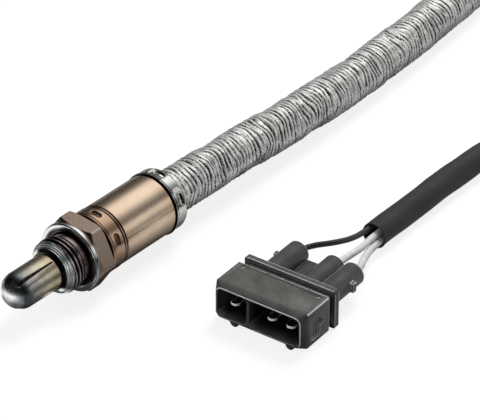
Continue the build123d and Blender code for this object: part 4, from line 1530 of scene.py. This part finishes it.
# ---------------------------------------------------------------------------- plug connector
def eased_copy(node: str, name: str, width: float) -> bpy.types.Object:
    """Copy of a CAD node's mesh with its faces merged and its sharp edges eased by a narrow bevel.

    Args:
        node: CAD node that the copy stands for.
        name: name of the new piece.
        width: width of the bevels, in millimetres.

    Returns:
        The linked object, with a painted highlight of one on the bevels that face up or sideways.
    """
    least_turn, least_length, upward = math.radians(35.0), 1.5 * width * MM, -0.15
    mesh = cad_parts[node].data.copy()
    mesh.name = name
    mesh.materials.clear()
    shape = bmesh.new()
    shape.from_mesh(mesh)
    for face in shape.faces:
        face.material_index = 0
    bmesh.ops.remove_doubles(shape, verts=shape.verts, dist=0.002 * MM)
    bmesh.ops.dissolve_limit(shape, angle_limit=math.radians(1.0), verts=shape.verts, edges=shape.edges)
    sharp = [edge for edge in shape.edges if len(edge.link_faces) == 2 and edge.calc_length() > least_length
             and edge.calc_face_angle(0.0) > least_turn]
    bmesh.ops.bevel(shape, geom=sharp, offset=width * MM, offset_type="OFFSET", segments=2, profile=0.5,
                    affect="EDGES", clamp_overlap=False, material=1)
    bmesh.ops.triangulate(shape, faces=[face for face in shape.faces if len(face.verts) > 4])
    painted_highlight = shape.faces.layers.float.new("painted_highlight")
    for face in shape.faces:
        # Painted highlight on the bevels that face up or sideways.
        face[painted_highlight] = float(face.material_index and face.normal.z > upward)
        face.material_index = 0
    shape.to_mesh(mesh)
    shape.free()
    return finish_mesh(name, mesh, Shading.CREASED)


def face_vectors(piece: bpy.types.Object, kind: str) -> np.ndarray:
    """Centre or normal of each face, array (faces, 3), where kind is its name in the mesh."""
    flat = np.empty(len(piece.data.polygons) * 3)
    piece.data.polygons.foreach_get(kind, flat)
    return flat.reshape(-1, 3)


def raise_painted_highlight(piece: bpy.types.Object, least: np.ndarray) -> None:
    """Raises the painted highlight of faces.

    Args:
        piece: the object.
        least: smallest share for each face.
    """
    layer = piece.data.attributes["painted_highlight"].data
    painted_highlight = np.empty(len(layer), dtype=np.float32)
    layer.foreach_get("value", painted_highlight)
    layer.foreach_set("value", np.maximum(painted_highlight, least).astype(np.float32))


@dataclass
class FlatPlug:
    """Flat two-bay plug with three barrels: its own axes are across, along and up. Sizes in millimetres."""

    x: float = 19.7
    y: float = -60.05
    z: float = -10.54
    yaw: float = 4.06
    barrel_axis: float = 6.55
    seal_v: float = 35.2
    ways: tuple[float, ...] = (-9.57, 3.87, 10.71)
    edge_width: float = 0.18
    blade_edge: float = 0.2
    mouth_half: float = 14.9
    mouth_up: tuple[float, float] = (0.9, 10.4)
    mouth_along: tuple[float, float] = (0.1, 14.0)
    corner_across: float = 14.5
    corner_along: tuple[float, float] = (2.4, 16.0)
    corner_facing: float = 0.35
    corner_highlight: float = 0.9
    pin_mark: tuple[float, float] = (13.7, 12.0)
    pin_radius: float = 0.7
    pin_up: tuple[float, float] = (11.5, 12.3)
    pin_facing: float = 0.9
    tip_facing: float = -0.2

    def point(self, across: float, along: float, up: float) -> np.ndarray:
        """Point of the row frame, in millimetres.

        Args:
            across: distance from the middle, towards the two close ways.
            along: distance from the mouth.
            up: distance above the underside.

        Returns:
            Array (3,).
        """
        turn = math.radians(self.yaw)
        side = np.array([math.sin(turn), -math.cos(turn), 0.0])
        back = np.array([math.cos(turn), math.sin(turn), 0.0])
        return np.array([self.x, self.y, self.z]) + side * across + back * along + np.array([0.0, 0.0, up])

    def along(self) -> np.ndarray:
        """Unit vector from the mouth to the cable."""
        return unit(self.point(0, 1, 0) - self.point(0, 0, 0))

    def _mark_moulding(self, piece: bpy.types.Object) -> None:
        """Marks the faces inside the mouth, and puts a painted highlight on the right top edge and on two
        round pin marks.

        Args:
            piece: the moulding, which gets an inside attribute of one on the faces within the mouth's
                outline and behind its rim.
        """
        sideways = self.point(1, 0, 0) - self.point(0, 0, 0)
        offset = face_vectors(piece, "center") / MM - self.point(0, 0, 0)
        normal = face_vectors(piece, "normal")
        across, along, up = offset @ sideways, offset @ self.along(), offset[:, 2]
        inside = (np.abs(across) < self.mouth_half) & (up > self.mouth_up[0]) & (up < self.mouth_up[1])
        inside &= (along > self.mouth_along[0]) & (along < self.mouth_along[1])
        layer = piece.data.attributes.new("inside", "FLOAT", "FACE").data
        layer.foreach_set("value", inside.astype(np.float32))
        # Painted highlight on faces that look up and to the right along the top edge, and on the tops of the
        # pin marks.
        corner = (normal[:, 2] > self.corner_facing) & (normal @ sideways > self.corner_facing)
        corner &= (along > self.corner_along[0]) & (along < self.corner_along[1])
        corner &= across > self.corner_across
        pin = np.hypot(np.abs(across) - self.pin_mark[0], along - self.pin_mark[1]) < self.pin_radius
        pin &= (normal[:, 2] > self.pin_facing) & (up > self.pin_up[0]) & (up < self.pin_up[1])
        raise_painted_highlight(piece, (corner | pin) * self.corner_highlight)

    def build(self) -> None:
        """Eases the edges of the moulding and of the blades, and paints the seals."""
        moulding = eased_copy("connector_housing", "plug_moulding", self.edge_width)
        self._mark_moulding(moulding)
        dress(moulding, CONNECTOR_PLASTIC, "black_plastic", "connector_housing")
        for k in (1, 2, 3):
            blade = eased_copy(f"connector_terminal_{k}", f"plug_blade_{k}", self.blade_edge)
            # Painted highlight on the blades' tips, which face the mouth.
            raise_painted_highlight(blade, face_vectors(blade, "normal") @ self.along() < self.tip_facing)
            dress(blade, BLADE_PLATE, "plated_blade", f"connector_terminal_{k}")
        paint(SEAL_RUBBER, "wire_seal_1", "wire_seal_2", "wire_seal_3")


@dataclass
class PlugWires:
    """Three wires from the seals into the open end of the sleeving. Sizes in millimetres."""

    straight: float = 4.0
    mouth: float = 8.0
    step: float = 0.25
    columns: int = 32
    clearance: float = 0.02
    wobble: float = 0.01
    wobble_range: tuple[float, float] = (-0.03, 0.02)
    seed: int = 40
    radii: tuple[float, ...] = (0.95, 1.15, 1.15)
    middles: tuple[tuple[float, float, float], ...] = (
        (66.0, -55.7, -3.1), (70.0, -60.9, -4.9), (65.0, -64.9, -5.4),
    )
    places: tuple[tuple[float, float], ...] = ((1.6, 2.1), (-0.85, 0.87), (-2.0, -1.2))
    names: tuple[str, ...] = ("wire_signal", "wire_heater_a", "wire_heater_b")
    fittings: tuple[tuple[str, ...], ...] = (
        ("wire_seal_1", "plug_blade_1"),
        ("wire_seal_2", "plug_blade_2", "plug_moulding"),
        ("wire_seal_3", "plug_blade_3"),
    )

    def route(self, plug: FlatPlug, k: int) -> list[tuple[float, float, float]]:
        """Control points of one wire.

        Args:
            plug: the plug that it leaves.
            k: number of the wire, from 0.

        Returns:
            Five points, in millimetres.
        """
        end, before = np.array(CABLE_FREE[-1]), np.array(CABLE_FREE[-2])
        back = unit(before - end)
        level = np.array([-back[1], back[0], 0.0])
        side, height = self.places[k]
        start = plug.point(plug.ways[k], plug.seal_v, plug.barrel_axis)
        mouth = end + level * side + np.array([0.0, 0.0, height])
        return [tuple(start), tuple(start + plug.along() * self.straight), self.middles[k],
                tuple(mouth - back * self.straight), tuple(mouth + back * self.mouth)]

    def build(self, plug: FlatPlug) -> None:
        """Round tubes along their splines.

        Args:
            plug: the plug that they leave.
        """
        angle = turn_angles(self.columns)
        for k, name in enumerate(self.names):
            route = self.route(plug, k)
            line = SplineLine(route)
            along = np.arange(0.0, line.length, self.step)
            wobble = self.wobble * wave_noise(angle[None], along[:, None], self.seed + k, 5, 9.0)
            radius = self.radii[k] - self.clearance + np.clip(wobble, *self.wobble_range)
            points = line.tube(along, radius, angle)
            piece = grid_object(f"insulated_{name}", points, close_first=True, close_last=True)
            finish = BLACK_INSULATION if k == 0 else WHITE_INSULATION
            dress(piece, finish, "black_insulation" if k == 0 else "white_insulation", name)


# ---------------------------------------------------------------------------- studio
def card_object(name: str, points: np.ndarray, shade: np.ndarray) -> bpy.types.Object:
    """Studio card on a grid of points, with a shade for each, seen only in reflections.

    Args:
        name: name of the card.
        points: array (rows, columns, 3) in metres.
        shade: brightness of each point, array (rows, columns).

    Returns:
        The linked object.
    """
    rows, columns = shade.shape
    index = np.arange(rows * columns).reshape(rows, columns)
    faces = np.stack([index[:-1, :-1], index[:-1, 1:], index[1:, 1:], index[1:, :-1]], axis=-1).reshape(-1, 4)
    mesh = bpy.data.meshes.new(name)
    mesh.from_pydata(points.reshape(-1, 3).tolist(), [], faces.tolist())
    mesh.attributes.new("shade", "FLOAT", "POINT").data.foreach_set("value", shade.astype(np.float32).ravel())
    card = bpy.data.objects.new(name, mesh)
    bpy.context.scene.collection.objects.link(card)
    sheet = NodeSheet(name)
    sheet.glow(sheet.attribute("shade"))
    mesh.materials.append(sheet.material)
    card.visible_camera = card.visible_diffuse = card.visible_shadow = card.visible_transmission = False
    return card


@dataclass
class Studio:
    """Pale floor, soft lamps, the arch and card that polished metal reflects, and the camera. In metres.

    The arch runs along the sensor's axis. Its stops are (angle from +Y towards +Z in degrees, shade):
    two soft boxes between darker strips, which fade with x as arch_x gives. In reflections the floor's
    shade rises from floor_near to floor_beside over the ranges floor_y and floor_x, and the round pale
    spots, (x, y, radius in x, radius in y, shade), are added to it. A spot fades where the square of the
    distance from its middle, in radii, goes through spot_edge. A lamp is (name, place, size, watts).
    """

    floor_z: float = -0.0116
    floor_reach: float = 6.0
    camera_azimuth: float = -50.486
    camera_elevation: float = 33.3
    camera_distance: float = 0.9636
    camera_target: tuple[float, float, float] = (0.06975, -0.01206, -0.01146)
    lens: float = 227.25
    world_level: float = 0.22
    arch_radius: float = 0.9
    arch_x: tuple[tuple[float, float], ...] = (
        (-3.0, 0.02), (-0.05, 0.02), (0.30, 1.0), (1.25, 1.0), (2.4, 0.30), (6.0, 0.10),
    )
    arch_stops: tuple[tuple[float, float], ...] = (
        (-4.0, 0.06), (14.0, 0.06), (34.0, 0.12), (46.0, 0.30), (60.0, 0.90), (72.0, 1.10), (94.0, 1.10),
        (106.0, 0.80), (118.0, 0.34), (130.0, 0.16), (140.0, 0.20), (149.0, 0.80), (160.0, 0.80),
        (170.0, 0.42), (180.0, 0.14), (184.0, 0.14),
    )
    card_radius: float = 1.3
    card_turn: tuple[float, float] = (106.0, 284.0)
    card_rise: tuple[float, float] = (0.5, 80.0)
    card_shade: float = 0.012
    floor_albedo: float = 0.20
    floor_seen: float = 0.84
    floor_near: float = 0.02
    floor_beside: float = 0.42
    floor_y: tuple[float, float] = (-0.012, -0.026)
    floor_x: tuple[float, float] = (0.022, 0.034)
    floor_spots: tuple[tuple[float, float, float, float, float], ...] = (
        (0.006, 0.022, 0.012, 0.011, 0.9), (0.001, 0.120, 0.022, 0.100, 0.9),
        (-0.020, 0.027, 0.012, 0.011, 0.9), (-0.0062, -0.0044, 0.0021, 0.0021, 1.0),
        (-0.088, 0.020, 0.056, 0.056, 1.1), (0.004, -0.024, 0.012, 0.016, 0.30),
    )
    spot_edge: tuple[float, float] = (0.5, 1.2)
    lamps: tuple[tuple[str, tuple[float, float, float], float, float], ...] = (
        ("softbox", (0.75, 0.10, 0.95), 0.7, 14.0), ("fill", (-1.1, 0.30, 0.45), 0.5, 6.0),
    )

    def back(self) -> Vector:
        """Unit vector from the target to the camera."""
        a, e = math.radians(self.camera_azimuth), math.radians(self.camera_elevation)
        return Vector((math.sin(a) * math.cos(e), -math.cos(a) * math.cos(e), math.sin(e)))

    def build(self) -> None:
        """Makes everything that isn't part of the sensor."""
        bpy.context.scene.view_settings.view_transform = "Standard"
        self._world()
        self._floor()
        self._lamps()
        self._arch()
        self._dark_card()
        self._camera()

    def _arch(self) -> None:
        """Strip of a cylinder round the X axis, shaded by its angle."""
        degrees = np.linspace(self.arch_stops[0][0], self.arch_stops[-1][0], 190)
        shade = np.interp(degrees, *np.array(self.arch_stops).T)
        stations, level = np.array(self.arch_x).T
        points = round_axis(stations, np.full(len(stations), self.arch_radius), np.radians(degrees))
        card_object("soft_box_arch", points, level[:, None] * shade[None])

    def _dark_card(self) -> None:
        """Dark part of a sphere round the sensor, on the camera's side."""
        turn, rise = np.meshgrid(np.radians(np.linspace(*self.card_turn, 40)),
                                 np.radians(np.linspace(*self.card_rise, 20)))
        points = np.stack([np.cos(turn) * np.cos(rise), np.sin(turn) * np.cos(rise), np.sin(rise)], axis=-1)
        card_object("dark_card", self.card_radius * points, np.full(turn.shape, self.card_shade))

    def _world(self) -> None:
        """White where the camera, a reflection or a refraction looks; plain level for everything else."""
        world = bpy.data.worlds.new("surroundings")
        bpy.context.scene.world = world
        world.use_nodes = True
        tree = NodeTree(world.node_tree)
        ray = tree.node("LightPath").outputs
        seen = tree.math("MAXIMUM", ray["Is Camera Ray"], ray["Is Glossy Ray"])
        seen = tree.math("MAXIMUM", seen, ray["Is Transmission Ray"])
        strength = tree.remap(seen, 0.0, 1.0, self.world_level, 1.0)
        background = tree.fill(tree.node("Background"), Color=(1.0, 1.0, 1.0), Strength=strength)
        tree.fill(tree.node("OutputWorld"), Surface=background.outputs[0])

    def _floor(self) -> None:
        """Wide plane that is white with a faint shadow, and dark with paler places in reflections."""
        mesh = bpy.data.meshes.new("floor")
        reach, z = self.floor_reach, self.floor_z
        corners = [(-reach, -reach, z), (reach, -reach, z), (reach, reach, z), (-reach, reach, z)]
        mesh.from_pydata(corners, [], [(0, 1, 2, 3)])
        floor = bpy.data.objects.new("floor", mesh)
        bpy.context.scene.collection.objects.link(floor)
        sheet = NodeSheet("floor")
        mesh.materials.append(sheet.material)
        ray = sheet.node("LightPath").outputs
        place = sheet.parts(sheet.position())
        beside = sheet.math("MULTIPLY", sheet.remap(place["Y"], *self.floor_y, 0.0, 1.0),
                            sheet.remap(place["X"], *self.floor_x, 0.0, 1.0))
        pale = sheet.remap(beside, 0.0, 1.0, self.floor_near, self.floor_beside)
        for x, y, reach_x, reach_y, shade in self.floor_spots:
            across = sheet.math("DIVIDE", sheet.math("SUBTRACT", place["X"], x), reach_x)
            along = sheet.math("DIVIDE", sheet.math("SUBTRACT", place["Y"], y), reach_y)
            squares = [sheet.math("MULTIPLY", part, part) for part in (across, along)]
            spot = sheet.remap(sheet.math("ADD", *squares), *self.spot_edge, shade, 0.0)
            pale = sheet.math("ADD", pale, spot)
        seen = sheet.math("MULTIPLY", ray["Is Camera Ray"], self.floor_seen)
        through = sheet.math("MULTIPLY", ray["Is Transmission Ray"], self.floor_seen)
        reflected = sheet.math("MULTIPLY", pale, ray["Is Glossy Ray"])
        strength = sheet.math("ADD", sheet.math("ADD", seen, through), reflected)
        sheet.glow(strength, albedo=self.floor_albedo)

    def _lamps(self) -> None:
        """One large soft lamp overhead towards the cable, and a fill along the sensor from its nose."""
        for name, place, size, watts in self.lamps:
            lamp = bpy.data.lights.new(name, "AREA")
            lamp.shape = "DISK"
            lamp.size = size
            lamp.energy = watts
            lamp_object = bpy.data.objects.new(name, lamp)
            bpy.context.scene.collection.objects.link(lamp_object)
            lamp_object.location = place
            lamp_object.rotation_mode = "QUATERNION"
            towards = Vector(self.camera_target) - Vector(place)
            lamp_object.rotation_quaternion = towards.to_track_quat("-Z", "Y")
            lamp_object.visible_glossy = False

    def _camera(self) -> None:
        """Camera at its distance from the target."""
        data = bpy.data.cameras.new("camera")
        data.lens = self.lens
        data.sensor_width = 36.0
        data.clip_start = 0.05
        data.clip_end = 30.0
        camera = bpy.data.objects.new("camera", data)
        bpy.context.scene.collection.objects.link(camera)
        back = self.back()
        camera.location = Vector(self.camera_target) + back * self.camera_distance
        camera.rotation_mode = "QUATERNION"
        camera.rotation_quaternion = (-back).to_track_quat("-Z", "Y")
        bpy.context.scene.camera = camera


def inner_parts() -> None:
    """Finishes of the pieces inside the sensor, which stay as the CAD has them."""
    paint(CERAMIC, "zirconia_thimble", "heater_rod", "ceramic_support_tube")
    paint(CONTACT_METAL, "signal_contact", "disc_spring", "signal_terminal",
          "heater_terminal_a", "heater_terminal_b")
    paint(GASKET_STEEL, "thimble_seal_ring")
    paint(BLACK_RUBBER, "cable_grommet")
    paint(BLACK_INSULATION, "lead_signal")
    paint(WHITE_INSULATION, "lead_heater_a", "lead_heater_b")


def main() -> None:
    """Builds the studio, the cable, the sensor and the plug, and paints the parts inside."""
    logging.basicConfig(level=logging.INFO, format="%(name)s %(message)s")
    Studio().build()
    CableBoot().build()
    HeatShieldHose().build()
    CableSleeving().build()
    plug = FlatPlug()
    plug.build()
    PlugWires().build(plug)
    ProtectiveTube().build()
    SensorShell().build()
    CrushGasket().build()
    SleeveShell().build()
    ClampBand().build()
    inner_parts()


if __name__ == "__main__":
    main()
